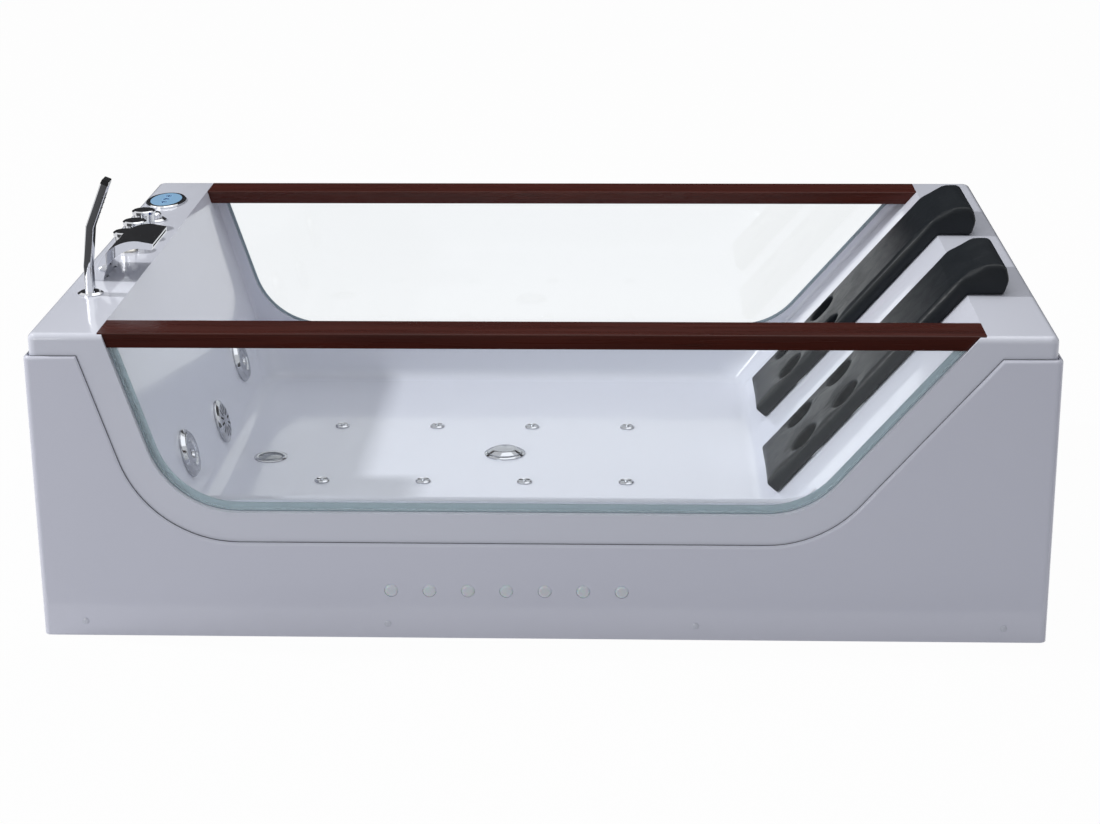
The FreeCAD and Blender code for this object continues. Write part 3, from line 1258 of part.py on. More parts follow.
def oval(half_x, half_y, z0, z1):
    """Upright oval block; the longer half axis is along Y."""
    ellipse = Part.Ellipse(Vector(0, half_y, z0), Vector(half_x, 0, z0), Vector(0, 0, z0))
    return Part.Face(Part.Wire(ellipse.toShape())).extrude(Vector(0, 0, z1 - z0))


def control_panel():
    """Oval housing of the controls, with a barrel for its cable."""
    deck = DECK_HEIGHT + SEAT_GAP
    top = DECK_HEIGHT + PANEL_HEIGHT
    body = oval(PANEL_HALF_WIDTH, PANEL_HALF_LENGTH, deck, top)
    body = body.makeChamfer(2.0, [e for e in body.Edges if e.BoundBox.ZMin > top - 0.01])
    recess = oval(PANEL_HALF_WIDTH - PANEL_BEZEL, PANEL_HALF_LENGTH - PANEL_BEZEL, top - LENS_DEPTH, top + 1)
    barrel = cylinder(PANEL_HALF_WIDTH / 2, DECK_HEIGHT - 30, deck + 1)
    return placed(body.cut(recess).fuse(barrel).removeSplitter(), PANEL_X, PANEL_Y, 0)


def key_places():
    return [(i - 1) * KEY_PITCH for i in range(3)]


def panel_key(y):
    """Key that springs back after a short press."""
    top = DECK_HEIGHT + PANEL_HEIGHT
    floor = top - LENS_DEPTH + SEAT_GAP + KEY_TRAVEL
    key = revolved([(0, floor), (KEY_RADIUS, floor), (KEY_RADIUS, top + KEY_PROUD - 0.4),
                    (KEY_RADIUS - 1.5, top + KEY_PROUD), (0, top + KEY_PROUD)])
    return placed(key, PANEL_X, PANEL_Y + y, 0)


def panel_lens():
    """Window over the display, with a hole for each key."""
    top = DECK_HEIGHT + PANEL_HEIGHT
    inset = PANEL_BEZEL + SEAT_GAP
    lens = oval(PANEL_HALF_WIDTH - inset, PANEL_HALF_LENGTH - inset, top - LENS_DEPTH + SEAT_GAP, top + 0.6)
    lens = lens.makeChamfer(0.4, [e for e in lens.Edges if e.BoundBox.ZMin > top])
    holes = [cylinder(KEY_RADIUS + KEY_GAP, DECK_HEIGHT, top + 2, 0, y) for y in key_places()]
    return placed(lens.cut(holes), PANEL_X, PANEL_Y, 0)


def deck_nuts():
    """Nuts under the deck on the spout's tails, the shower sleeve and the air valve."""
    top = DECK_HEIGHT - SHELL_WALL - SEAT_GAP
    places = [(x, y, INLET_RADIUS - 2) for x, y in spout_tails()]
    places.append((SHOWER_X, SHOWER_Y, BAR_DEPTH / 2 + 4))
    places.append((AIR_KNOB_X, AIR_KNOB_Y, AIR_BASE_RADIUS / 2))
    nuts = []
    for x, y, radius in places:
        nut = hexagon(radius + 6, top - 8, top, x, y)
        nuts.append(nut.cut(cylinder(radius + SEAT_GAP / 3, top - 9, top + 1, x, y)))
    return nuts


# ================================================================ machinery under the tub
def pump_height():
    """Height of the pump's axis, in line with the water return."""
    return SUCTION_HEIGHT - (foot_wall_x(SUCTION_HEIGHT) - PUMP_X) * TAN_FOOT


def along_y(shape, x, y, z):
    """Turns a piece built up Z to run along +Y."""
    moved = shape.copy()
    moved.Placement = FreeCAD.Placement(Vector(x, y, z), FreeCAD.Rotation(Vector(1, 0, 0), -90))
    return moved


def suction_pipe():
    x0, z0 = behind_foot_wall(SUCTION_HEIGHT, SUCTION_TAIL + SEAT_GAP)
    z = pump_height()
    points = [(x0, 0, z0), (PUMP_X, 0, z), (PUMP_X, PUMP_Y - SEAT_GAP, z)]
    return pipe(points, SUCTION_PIPE_RADIUS, 1.5 * SUCTION_PIPE_RADIUS)


def jet_manifold_point():
    return behind_foot_wall(JET_HEIGHT, JET_MANIFOLD_DEPTH)


def pump_casing():
    """Volute with its outlet to the jet manifold."""
    edge = VOLUTE_WIDTH / 10
    volute = revolved([(0, 0), (VOLUTE_RADIUS * 0.72, 0), (VOLUTE_RADIUS, VOLUTE_WIDTH / 4),
                       (VOLUTE_RADIUS, VOLUTE_WIDTH), (0, VOLUTE_WIDTH)], [0, edge, edge, edge, 0])
    volute = along_y(volute, PUMP_X, PUMP_Y, pump_height())
    x, z = jet_manifold_point()
    middle = PUMP_Y + VOLUTE_WIDTH / 2
    outlet = pipe([(PUMP_X, middle, pump_height()), (PUMP_X, middle, z),
                   (x - PIPE_RADIUS - SEAT_GAP, middle, z)], OUTLET_RADIUS, 2 * OUTLET_RADIUS)
    return fuse_all([volute, outlet])


def pump_motor():
    """Finned motor behind the volute, on its foot."""
    z = pump_height()
    start = PUMP_Y + VOLUTE_WIDTH + SEAT_GAP
    outline = [(0, 0), (MOTOR_RADIUS, 0), (MOTOR_RADIUS, MOTOR_LENGTH - 30),
               (MOTOR_RADIUS + 3, MOTOR_LENGTH - 30), (MOTOR_RADIUS - 4, MOTOR_LENGTH), (0, MOTOR_LENGTH)]
    motor = along_y(revolved(outline), PUMP_X, start, z)
    half = PUMP_FOOT_WIDTH / 2
    foot = box(PUMP_X - half, PUMP_X + half, start + 30, start + MOTOR_LENGTH - 50,
               FRAME_TOP + PUMP_PLATE + SEAT_GAP, z - MOTOR_RADIUS / 2)
    return fuse_all([motor, foot])


def pump_plate():
    """Steel plate from the end rail to the pump's bearer."""
    start = PUMP_Y + VOLUTE_WIDTH
    return box(-FRAME_X, PUMP_BEARER + TUBE / 2, start, start + MOTOR_LENGTH,
               FRAME_TOP, FRAME_TOP + PUMP_PLATE)


def jet_pipe():
    """Pipe behind the foot wall that feeds both big jets."""
    x, z = jet_manifold_point()
    end = JET_SPREAD - JET_BARREL - 4 - SEAT_GAP
    return pipe([(x, -end, z), (x, end, z)], PIPE_RADIUS, 0)


def head_link():
    """Foot and top of the pipe that joins the two rows of back jets."""
    top = behind_backrest(HOLE_UPPER, BACK_MANIFOLD_DEPTH)
    low = behind_backrest(HOLE_LOWER, BACK_MANIFOLD_DEPTH)
    drop = (low[1] - LANE_Z) * TAN_BACK
    return top, low, (low[0] - drop, LANE_Z)


def pressure_pipe():
    """Long pipe from the rear jet, down beside the bath, to the back jets."""
    x, z = jet_manifold_point()
    y0 = JET_SPREAD + JET_BARREL + 4 + SEAT_GAP
    foot = head_link()[2]
    link_y = PAD_CENTRE + HOLE_SPREAD + LANE_BEND
    points = [(x, y0, z), (x, LANE_Y, z), (x, LANE_Y, LANE_Z), (foot[0], LANE_Y, LANE_Z),
              (foot[0], link_y + LINK_RADIUS + SEAT_GAP, LANE_Z)]
    return pipe(points, PIPE_RADIUS, LANE_BEND * 0.6)


def back_manifold():
    """Two cross pipes behind the backrest, and the link between them."""
    top, low, foot = head_link()
    link_y = PAD_CENTRE + HOLE_SPREAD + LANE_BEND
    end = PAD_CENTRE + HOLE_SPREAD + BACK_JET_BARREL
    rows = [pipe([(x, -end, z), (x, link_y + PIPE_RADIUS, z)], PIPE_RADIUS, 0) for x, z in (top, low)]
    link_foot = (foot[0] - LINK_RADIUS * TAN_BACK, foot[1] - LINK_RADIUS)
    link = pipe([(link_foot[0], link_y, link_foot[1]), (top[0], link_y, top[1])], LINK_RADIUS, 0)
    stubs = [on_backrest(cylinder(RISER_RADIUS, -BACK_MANIFOLD_DEPTH, -BACK_JET_DEPTH - SEAT_GAP), y, d)
             for y, d in back_jet_places()]
    return fuse_all(rows + [link] + stubs)


def air_blower():
    """Blower on two cross bearers, with its outlet towards the bath."""
    base = CROSS_TOP + SEAT_GAP
    half = BLOWER_RADIUS + 12
    span = (CROSS_MEMBERS[-1] - CROSS_MEMBERS[-2] + TUBE) / 2
    middle = (CROSS_MEMBERS[-1] + CROSS_MEMBERS[-2]) / 2
    plate = box(middle - span, middle + span, BLOWER_Y - half, BLOWER_Y + half, base, base + 4)
    body = revolved([(0, base + 3), (BLOWER_RADIUS, base + 3), (BLOWER_RADIUS, base + BLOWER_HEIGHT * 0.6),
                     (BLOWER_RADIUS * 0.7, base + BLOWER_HEIGHT * 0.7),
                     (BLOWER_RADIUS * 0.7, base + BLOWER_HEIGHT), (0, base + BLOWER_HEIGHT)],
                    [0, 0, 8, 4, 6, 0])
    outlet = Part.makeCylinder(AIR_PIPE_RADIUS, BLOWER_RADIUS + BLOWER_NECK,
                               Vector(BLOWER_X, BLOWER_Y, LANE_Z),
                               Vector(-1, 0, 0))
    return fuse_all([plate, placed(body, BLOWER_X, BLOWER_Y, 0), outlet])


def air_pipes():
    """Air pipes under the floor, with a riser to every bubble jet."""
    start = BLOWER_X - BLOWER_RADIUS - BLOWER_NECK - SEAT_GAP
    drop = start - 2.2 * AIR_PIPE_RADIUS
    end = BUBBLE_PLACES[0] - BUBBLE_RADIUS
    join = (CROSS_MEMBERS[-3] + TUBE / 2 + drop) / 2
    bend = 1.8 * AIR_PIPE_RADIUS
    front = pipe([(start, -BUBBLE_SPREAD, LANE_Z), (drop, -BUBBLE_SPREAD, LANE_Z),
                  (drop, -BUBBLE_SPREAD, AIR_PIPE_Z), (end, -BUBBLE_SPREAD, AIR_PIPE_Z)],
                 AIR_PIPE_RADIUS, bend)
    rear = pipe([(join, -BUBBLE_SPREAD, AIR_PIPE_Z), (join, BUBBLE_SPREAD, AIR_PIPE_Z),
                 (end, BUBBLE_SPREAD, AIR_PIPE_Z)], AIR_LINK_RADIUS, bend)
    top = CROSS_TOP - TUBE / 2 - SEAT_GAP
    risers = [cylinder(RISER_RADIUS, AIR_PIPE_Z, top, x, side * BUBBLE_SPREAD)
              for x in BUBBLE_PLACES for side in SIDES]
    return fuse_all([front, rear] + risers)


def waste_trap():
    """Low trap under the drain, with the outlet pipe towards the rear."""
    top = FLOOR_HEIGHT - SHELL_WALL - SEAT_GAP - 16 - SEAT_GAP
    low = WASTE_Z - WASTE_RADIUS
    profile = [(0, low), (TRAP_RADIUS, low), (TRAP_RADIUS, FRAME_BOTTOM + 14), (DRAIN_BARREL, FRAME_TOP - 6),
               (DRAIN_BARREL, top), (DRAIN_BARREL - 3, top), (DRAIN_BARREL - 3, WASTE_Z), (0, WASTE_Z)]
    trap = placed(revolved(profile, [0, 6, 6, 0, 0, 0, 0, 0]), DRAIN_X, 0, 0)
    outlet = [along_y(cylinder(radius, 0, WASTE_END - y0), DRAIN_X, y0, WASTE_Z)
              for radius, y0 in ((WASTE_RADIUS - WASTE_WALL / 2, TRAP_RADIUS / 2),
                                 (WASTE_RADIUS, WASTE_END - WASTE_SPIGOT))]
    bore = along_y(cylinder(WASTE_RADIUS - 2 * WASTE_WALL, 0, WASTE_END + 1), DRAIN_X, 0, WASTE_Z)
    return fuse_all([trap] + outlet).cut(bore)


def control_box():
    """Electrical box beside the front foot post."""
    length, width, height = CONTROL_BOX
    y0 = -(FRAME_Y - TUBE) + SEAT_GAP
    body = box(-FRAME_X, -FRAME_X + length, y0, y0 + width, CONTROL_BOX_Z, CONTROL_BOX_Z + height)
    return rounded_edges(body, 6.0, lambda edge: runs_along(edge, "z"))


# ================================================================ the whole tub
def tub_pieces():
    """Every piece by its name; a list is a group of like solids."""
    knobs = knob_places()
    keys = key_places()
    return {
        "tub_shell": tub_shell(),
        "front_glass": window_glass(-1),
        "rear_glass": window_glass(1),
        "glass_seals": glass_seals(),
        "front_rail": hand_rail(-1),
        "rear_rail": hand_rail(1),
        "rail_screws": rail_screws(),
        "front_skirt": long_skirt(-1),
        "rear_skirt": long_skirt(1),
        "foot_end_skirt": end_skirt(-1),
        "head_end_skirt": end_skirt(1),
        "skirt_screws": skirt_screws(),
        "skirt_brackets": skirt_brackets(),
        "skirt_light_lenses": skirt_lights(),
        "skirt_light_strip": light_strip(),
        "base_frame": base_frame(),
        "levelling_feet": levelling_feet(),
        "floor_board": floor_board(),
        "front_pad": back_pad(-1),
        "rear_pad": back_pad(1),
        "jet_bodies": jet_bodies(),
        "front_jet_ring": jet_ring(-1),
        "rear_jet_ring": jet_ring(1),
        "front_jet_nozzle": jet_nozzle(-1),
        "rear_jet_nozzle": jet_nozzle(1),
        "suction_fitting": suction_fitting(),
        "suction_cover": suction_cover(),
        "back_jets": back_jets(),
        "bubble_jets": bubble_jets(),
        "drain_flange": drain_flange(),
        "drain_cap": drain_cap(),
        "floor_light_ring": floor_light(),
        "floor_light_lens": floor_light_lens(),
        "shower_sleeve": shower_sleeve(),
        "hand_shower_handle": hand_shower_handle(),
        "hand_shower_face": hand_shower_face(),
        "hand_shower_end_cap": hand_shower_end_cap(),
        "waterfall_spout": waterfall_spout(),
        "diverter_knob": tap_knob(knobs[0]),
        "hot_knob": tap_knob(knobs[1]),
        "cold_knob": tap_knob(knobs[2]),
        "deck_valves": deck_valves(),
        "air_control_base": air_control_base(),
        "air_control_knob": air_control_knob(),
        "control_panel": control_panel(),
        "panel_lens": panel_lens(),
        "jets_key": panel_key(keys[0]),
        "air_key": panel_key(keys[1]),
        "light_key": panel_key(keys[2]),
        "deck_nuts": deck_nuts(),
        "pump_casing": pump_casing(),
        "pump_motor": pump_motor(),
        "suction_pipe": suction_pipe(),
        "jet_pipe": jet_pipe(),
        "pressure_pipe": pressure_pipe(),
        "back_manifold": back_manifold(),
        "air_blower": air_blower(),
        "air_pipes": air_pipes(),
        "waste_trap": waste_trap(),
        "control_box": control_box(),
    }


def main():
    os.makedirs("parts", exist_ok=True)
    for name, piece in tub_pieces().items():
        shape = Part.makeCompound(piece) if isinstance(piece, list) else piece
        shape.exportStep("parts/%s.step" % name)
        print(name, len(shape.Solids), round(shape.Volume / 1000.0, 1), shape.isValid())


main()
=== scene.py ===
# %% [markdown]
# # A jetted bathtub, dressed for a product photograph
#
# The hard parts of this tub (shell, glass, rails, taps, jets) come from the CAD model and keep
# their exact shape. This notebook adds what CAD leaves out: finishes, the soft back pads, the
# non-slip dots, the symbols on the keys, and a pale studio to look at it all in.

# %% Load the CAD model as the frame
import math

import bmesh
import bpy
from mathutils import Matrix, Vector


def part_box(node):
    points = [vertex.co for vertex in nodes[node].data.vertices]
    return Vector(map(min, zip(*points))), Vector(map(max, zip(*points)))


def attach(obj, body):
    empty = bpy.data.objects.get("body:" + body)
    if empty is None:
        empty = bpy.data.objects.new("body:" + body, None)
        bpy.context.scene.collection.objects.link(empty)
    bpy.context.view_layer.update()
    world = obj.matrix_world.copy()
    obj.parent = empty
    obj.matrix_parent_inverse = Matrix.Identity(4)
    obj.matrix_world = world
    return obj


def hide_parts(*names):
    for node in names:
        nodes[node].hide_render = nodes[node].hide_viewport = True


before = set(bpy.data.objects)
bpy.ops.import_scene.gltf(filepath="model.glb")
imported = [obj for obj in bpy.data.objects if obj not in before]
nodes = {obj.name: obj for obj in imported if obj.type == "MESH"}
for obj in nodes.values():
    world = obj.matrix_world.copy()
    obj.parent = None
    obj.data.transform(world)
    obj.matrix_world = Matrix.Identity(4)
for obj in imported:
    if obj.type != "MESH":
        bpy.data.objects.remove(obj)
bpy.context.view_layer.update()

scene = bpy.context.scene

# %% [markdown]
# ## The camera
#
# The photograph was taken from the front, a little right of the middle, with a long lens. Its place
# was found by matching the tub's corners to the picture, so the numbers are simply written down:
# a real camera position, three turns in degrees and a focal length on a 36 mm wide sensor.

# %% Camera
CAMERA_PLACE = (0.17341, -4.47441, 1.72131)
CAMERA_TURNS = (71.59822, 0.42046, 2.14944)
FOCAL_LENGTH = 76.26
SENSOR_WIDTH = 36.0

camera_data = bpy.data.cameras.new("camera")
camera_data.lens = FOCAL_LENGTH
camera_data.sensor_width = SENSOR_WIDTH
camera_data.sensor_fit = "HORIZONTAL"
camera_data.clip_end = 100.0
camera = bpy.data.objects.new("camera", camera_data)
camera.location = CAMERA_PLACE
camera.rotation_euler = [math.radians(turn) for turn in CAMERA_TURNS]
scene.collection.objects.link(camera)
scene.camera = camera
scene.view_settings.view_transform = "Standard"

# %% [markdown]
# ## Small helpers for node materials
#
# A node material is a graph. Two helpers keep the later cells short: one starts a material with a
# Principled shader, one adds a node and sets its values. Sockets that hold one number for the whole
# surface are set directly on the shader.

# %% Material helpers
def new_material(name, color, roughness, metallic=0.0, **sockets):
    """A material with a Principled shader and its plain values set on the shader itself."""
    material = bpy.data.materials.new(name)
    material.use_nodes = True
    shader = material.node_tree.nodes["Principled BSDF"]
    shader.inputs["Base Color"].default_value = (*color, 1.0)
    shader.inputs["Roughness"].default_value = roughness
    shader.inputs["Metallic"].default_value = metallic
    for socket, value in sockets.items():
        shader.inputs[socket.replace("_", " ")].default_value = value
    return material


def add(tree, kind, values=None, **settings):
    """Adds a node, sets its properties and its unlinked inputs."""
    node = tree.nodes.new(kind)
    for name, value in settings.items():
        setattr(node, name, value)
    for name, value in (values or {}).items():
        node.inputs[name].default_value = value
    return node


def shader_of(material):
    return material.node_tree.nodes["Principled BSDF"]


def object_coordinates(tree, scale=(1, 1, 1)):
    """The piece's own coordinates in metres, which stay put when it moves."""
    place = add(tree, "ShaderNodeTexCoord")
    mapping = add(tree, "ShaderNodeMapping", {"Scale": scale})
    tree.links.new(place.outputs["Object"], mapping.inputs["Vector"])
    return mapping.outputs["Vector"]


# %% [markdown]
# ## Shared surface effects
#
# Three effects are used by many finishes, so each is a node group: *orange peel*, the faint
# waviness of moulded or lacquered surfaces; *handling*, uneven gloss from cleaning and fingers; and
# *tone*, a slow change of colour across a piece. A group only hands out values; the shader stays in
# the material.

# %% Node groups
def new_group(name, inputs, outputs):
    """An empty node group with named number inputs and typed outputs."""
    group = bpy.data.node_groups.new(name, "ShaderNodeTree")
    group.interface.new_socket("Vector", in_out="INPUT", socket_type="NodeSocketVector")
    for title, default in inputs.items():
        kind = "NodeSocketColor" if isinstance(default, tuple) else "NodeSocketFloat"
        socket = group.interface.new_socket(title, in_out="INPUT", socket_type=kind)
        socket.default_value = default
    for title, kind in outputs.items():
        group.interface.new_socket(title, in_out="OUTPUT", socket_type=kind)
    return group, group.nodes.new("NodeGroupInput"), group.nodes.new("NodeGroupOutput")


def make_orange_peel():
    group, entry, leave = new_group("orange_peel", {"Scale": 90.0, "Broad": 7.0},
                                    {"Height": "NodeSocketFloat"})
    fine = add(group, "ShaderNodeTexNoise", {"Detail": 2.0, "Roughness": 0.4})
    broad = add(group, "ShaderNodeTexNoise", {"Detail": 1.0, "Roughness": 0.3})
    blend = add(group, "ShaderNodeMath", {1: 0.35}, operation="MULTIPLY_ADD")
    for noise, size in ((fine, "Scale"), (broad, "Broad")):
        group.links.new(entry.outputs["Vector"], noise.inputs["Vector"])
        group.links.new(entry.outputs[size], noise.inputs["Scale"])
    group.links.new(fine.outputs["Fac"], blend.inputs[0])
    group.links.new(broad.outputs["Fac"], blend.inputs[2])
    group.links.new(blend.outputs[0], leave.inputs["Height"])
    return group


def make_handling():
    group, entry, leave = new_group("handling", {"Clean": 0.1, "Worn": 0.25, "Scale": 14.0},
                                    {"Roughness": "NodeSocketFloat"})
    smear = add(group, "ShaderNodeTexNoise", {"Detail": 5.0, "Roughness": 0.62, "Distortion": 0.6})
    shape = add(group, "ShaderNodeMapRange", {"From Min": 0.42, "From Max": 0.75})
    group.links.new(entry.outputs["Vector"], smear.inputs["Vector"])
    group.links.new(entry.outputs["Scale"], smear.inputs["Scale"])
    group.links.new(smear.outputs["Fac"], shape.inputs["Value"])
    group.links.new(entry.outputs["Clean"], shape.inputs["To Min"])
    group.links.new(entry.outputs["Worn"], shape.inputs["To Max"])
    group.links.new(shape.outputs["Result"], leave.inputs["Roughness"])
    return group


def make_tone():
    starts = {"Light": (1.0, 1.0, 1.0, 1.0), "Dark": (0.9, 0.9, 0.9, 1.0), "Scale": 3.0}
    group, entry, leave = new_group("tone", starts, {"Color": "NodeSocketColor"})
    cloud = add(group, "ShaderNodeTexNoise", {"Detail": 3.0, "Roughness": 0.5})
    mix = add(group, "ShaderNodeMix", data_type="RGBA")
    group.links.new(entry.outputs["Vector"], cloud.inputs["Vector"])
    group.links.new(entry.outputs["Scale"], cloud.inputs["Scale"])
    group.links.new(cloud.outputs["Fac"], mix.inputs["Factor"])
    group.links.new(entry.outputs["Light"], mix.inputs["A"])
    group.links.new(entry.outputs["Dark"], mix.inputs["B"])
    group.links.new(mix.outputs["Result"], leave.inputs["Color"])
    return group


GROUPS = {"orange_peel": make_orange_peel(), "handling": make_handling(), "tone": make_tone()}


def use_group(material, name, vector, **values):
    """Puts a shared effect into a material and gives back what it hands out."""
    tree = material.node_tree
    node = add(tree, "ShaderNodeGroup", node_tree=GROUPS[name])
    tree.links.new(vector, node.inputs["Vector"])
    for title, value in values.items():
        node.inputs[title].default_value = value
    return node.outputs[0]


def feed(material, output, socket):
    """Links a value to a socket of the material's shader."""
    material.node_tree.links.new(output, shader_of(material).inputs[socket])


def add_bump(material, height, strength, distance):
    """Feeds a height into the shader as a bump."""
    tree = material.node_tree
    bump = add(tree, "ShaderNodeBump", {"Strength": strength, "Distance": distance})
    tree.links.new(height, bump.inputs["Height"])
    tree.links.new(bump.outputs["Normal"], shader_of(material).inputs["Normal"])


def moulded(name, light, dark, clean, worn, peel=0.12, peel_scale=90.0, **sockets):
    """A moulded plastic or painted finish: slow tone, uneven gloss, orange peel."""
    material = new_material(name, light, clean, **sockets)
    vector = object_coordinates(material.node_tree)
    tone = use_group(material, "tone", vector, Light=(*light, 1.0), Dark=(*dark, 1.0))
    feed(material, tone, "Base Color")
    feed(material, use_group(material, "handling", vector, Clean=clean, Worn=worn), "Roughness")
    skin = use_group(material, "orange_peel", vector, Scale=peel_scale)
    add_bump(material, skin, peel, 0.001)
    return material


# %% [markdown]
# ## Acrylic and skirt panels
#
# The shell is white sanitary acrylic with a hint of lavender: very glossy, with long soft waves from
# the vacuum forming. The skirts are the same sheet in a copy a little less glossy, whose slightly
# darker colour is painted shade on the upright panels. A clear coat on the shader gives the deep gloss
# while the layer below stays a little softer.

# %% Acrylic finishes
acrylic = moulded("sanitary_acrylic", (0.79, 0.81, 0.895), (0.77, 0.79, 0.88), 0.10, 0.17,
                  peel=0.05, peel_scale=35.0, Specular_IOR_Level=0.28, Coat_Weight=0.25,
                  Coat_Roughness=0.03)
# Slightly darker skirt colour: painted shade on the upright panels.
skirt_acrylic = moulded("skirt_acrylic", (0.77, 0.785, 0.88), (0.75, 0.765, 0.865), 0.14, 0.24,
                        peel=0.06, peel_scale=30.0, Specular_IOR_Level=0.3, Coat_Weight=0.25,
                        Coat_Roughness=0.05)

# %% [markdown]
# ## Stained wood
#
# The rails are hardwood under a dark mahogany stain and a satin lacquer. Grain is noise stretched
# along the rail: a long slow figure, and fine pores on top. The figure varies the stain; the pores
# darken the colour and lift the bump a little; the lacquer shows as an even satin gloss.

# %% Wood
def stained_wood():
    material = new_material("mahogany_stain", (0.07, 0.014, 0.008), 0.35, Specular_IOR_Level=0.25)
    tree = material.node_tree
    along = object_coordinates(tree, (1.2, 22.0, 22.0))
    fine = object_coordinates(tree, (9.0, 260.0, 260.0))
    figure = add(tree, "ShaderNodeTexNoise", {"Scale": 1.0, "Detail": 6.0, "Distortion": 1.4})
    pores = add(tree, "ShaderNodeTexNoise", {"Scale": 1.0, "Detail": 3.0})
    tree.links.new(along, figure.inputs["Vector"])
    tree.links.new(fine, pores.inputs["Vector"])
    stain = add(tree, "ShaderNodeValToRGB")
    stain.color_ramp.elements[0].position = 0.30
    stain.color_ramp.elements[0].color = (0.042, 0.007, 0.004, 1.0)
    stain.color_ramp.elements[1].position = 0.72
    stain.color_ramp.elements[1].color = (0.066, 0.010, 0.005, 1.0)
    tree.links.new(figure.outputs["Fac"], stain.inputs["Fac"])
    pore_mask = add(tree, "ShaderNodeMapRange", {"From Min": 0.55, "From Max": 0.72, "To Max": 0.35})
    tree.links.new(pores.outputs["Fac"], pore_mask.inputs["Value"])
    mix = add(tree, "ShaderNodeMix", {"B": (0.012, 0.003, 0.002, 1.0)}, data_type="RGBA")
    tree.links.new(pore_mask.outputs["Result"], mix.inputs["Factor"])
    tree.links.new(stain.outputs["Color"], mix.inputs["A"])
    feed(material, mix.outputs["Result"], "Base Color")
    handling = use_group(material, "handling", along, Clean=0.26, Worn=0.42, Scale=2.0)
    feed(material, handling, "Roughness")
    add_bump(material, pores.outputs["Fac"], 0.12, 0.0006)
    return material


rail_wood = stained_wood()

# %% [markdown]
# ## Chrome and steel
#
# Chrome is a mirror: its look is what it reflects. The material stays simple, with a very low
# roughness that rises in faint smears. The fittings inside the bath get a duller copy whose darker
# colour is painted shade, in place of the darker reflections they show. Screws, nickel and zinc steel
# differ only in their values.

# %% Metals
def metal(name, color, clean, worn, scale=14.0, peel=0.02):
    material = new_material(name, color, clean, metallic=1.0)
    vector = object_coordinates(material.node_tree)
    handling = use_group(material, "handling", vector, Clean=clean, Worn=worn, Scale=scale)
    feed(material, handling, "Roughness")
    skin = use_group(material, "orange_peel", vector, Scale=60.0, Broad=20.0)
    add_bump(material, skin, peel, 0.0005)
    return material


chrome = metal("polished_chrome", (0.66, 0.67, 0.70), 0.03, 0.09)
# Darker colour of the bath fittings' chrome: painted shade for their darker reflections.
shaded_bath_chrome = metal("chrome_with_painted_shade", (0.46, 0.47, 0.50), 0.05, 0.14, scale=30.0)
steel = metal("stainless_screws", (0.62, 0.62, 0.64), 0.2, 0.36, scale=60.0)
nickel = metal("nickel_plated_brass", (0.50, 0.49, 0.46), 0.24, 0.42, scale=40.0, peel=0.1)
zinc = metal("zinc_coated_tube", (0.50, 0.52, 0.54), 0.36, 0.55, scale=20.0, peel=0.15)

# %% [markdown]
# ## Glass and its seal
#
# Clear glass bends light and tints it slightly cool. Cycles traces that in full, but
# light that should pass straight through to the bath is lost as shadow, so for shadow rays the pane
# counts as nearly transparent. The band that shows round the pane is the grey-teal bonding tape
# behind it.

# %% Glass
def window_glass():
    material = new_material("float_glass", (0.935, 0.958, 0.972), 0.0, Transmission_Weight=1.0,
                            IOR=1.45)
    tree = material.node_tree
    rays = add(tree, "ShaderNodeLightPath")
    clear = add(tree, "ShaderNodeBsdfTransparent", {"Color": (0.93, 0.97, 0.965, 1.0)})
    mix = add(tree, "ShaderNodeMixShader")
    out = tree.nodes["Material Output"]
    tree.links.new(rays.outputs["Is Shadow Ray"], mix.inputs["Fac"])
    tree.links.new(shader_of(material).outputs["BSDF"], mix.inputs[1])
    tree.links.new(clear.outputs["BSDF"], mix.inputs[2])
    tree.links.new(mix.outputs["Shader"], out.inputs["Surface"])
    return material


glass = window_glass()
tape = moulded("bonding_tape", (0.36, 0.44, 0.49), (0.32, 0.40, 0.45), 0.4, 0.55, peel=0.1)

# %% [markdown]
# ## The remaining finishes
#
# Pipes, machines and small plastic parts are mostly hidden, but each still gets its own colour, gloss
# and texture. The frosted lenses scatter light inside, which subsurface scattering imitates.

# %% Plastics and painted parts
frosted = moulded("frosted_lens", (0.80, 0.84, 0.88), (0.74, 0.79, 0.84), 0.28, 0.4, peel=0.1,
                  Subsurface_Weight=0.5, Subsurface_Scale=0.004, Coat_Weight=0.3)
smoked = moulded("smoked_lens", (0.20, 0.22, 0.25), (0.15, 0.17, 0.20), 0.08, 0.2, peel=0.1,
                 Coat_Weight=0.8)
light_box = moulded("light_box_plastic", (0.7, 0.7, 0.7), (0.6, 0.6, 0.6), 0.45, 0.6)
pipe_plastic = moulded("grey_pipe", (0.62, 0.64, 0.66), (0.55, 0.57, 0.59), 0.35, 0.5, peel=0.1)
pump_plastic = moulded("pump_plastic", (0.03, 0.032, 0.035), (0.022, 0.024, 0.026), 0.35, 0.55,
                       peel=0.3, peel_scale=400.0)
motor_paint = moulded("motor_paint", (0.03, 0.07, 0.16), (0.02, 0.055, 0.13), 0.3, 0.5, peel=0.3,
                      peel_scale=250.0)
box_plastic = moulded("switch_box_plastic", (0.42, 0.44, 0.45), (0.36, 0.38, 0.4), 0.4, 0.55,
                      peel=0.2, peel_scale=500.0)
plywood = moulded("base_board", (0.46, 0.33, 0.19), (0.36, 0.25, 0.14), 0.6, 0.8, peel=0.4,
                  peel_scale=180.0)
spray_rubber = moulded("spray_rubber", (0.10, 0.105, 0.11), (0.08, 0.085, 0.09), 0.5, 0.65,
                       peel=0.2)
dark_cap = moulded("dark_cap", (0.03, 0.03, 0.032), (0.022, 0.022, 0.024), 0.12, 0.25,
                   Coat_Weight=0.5)
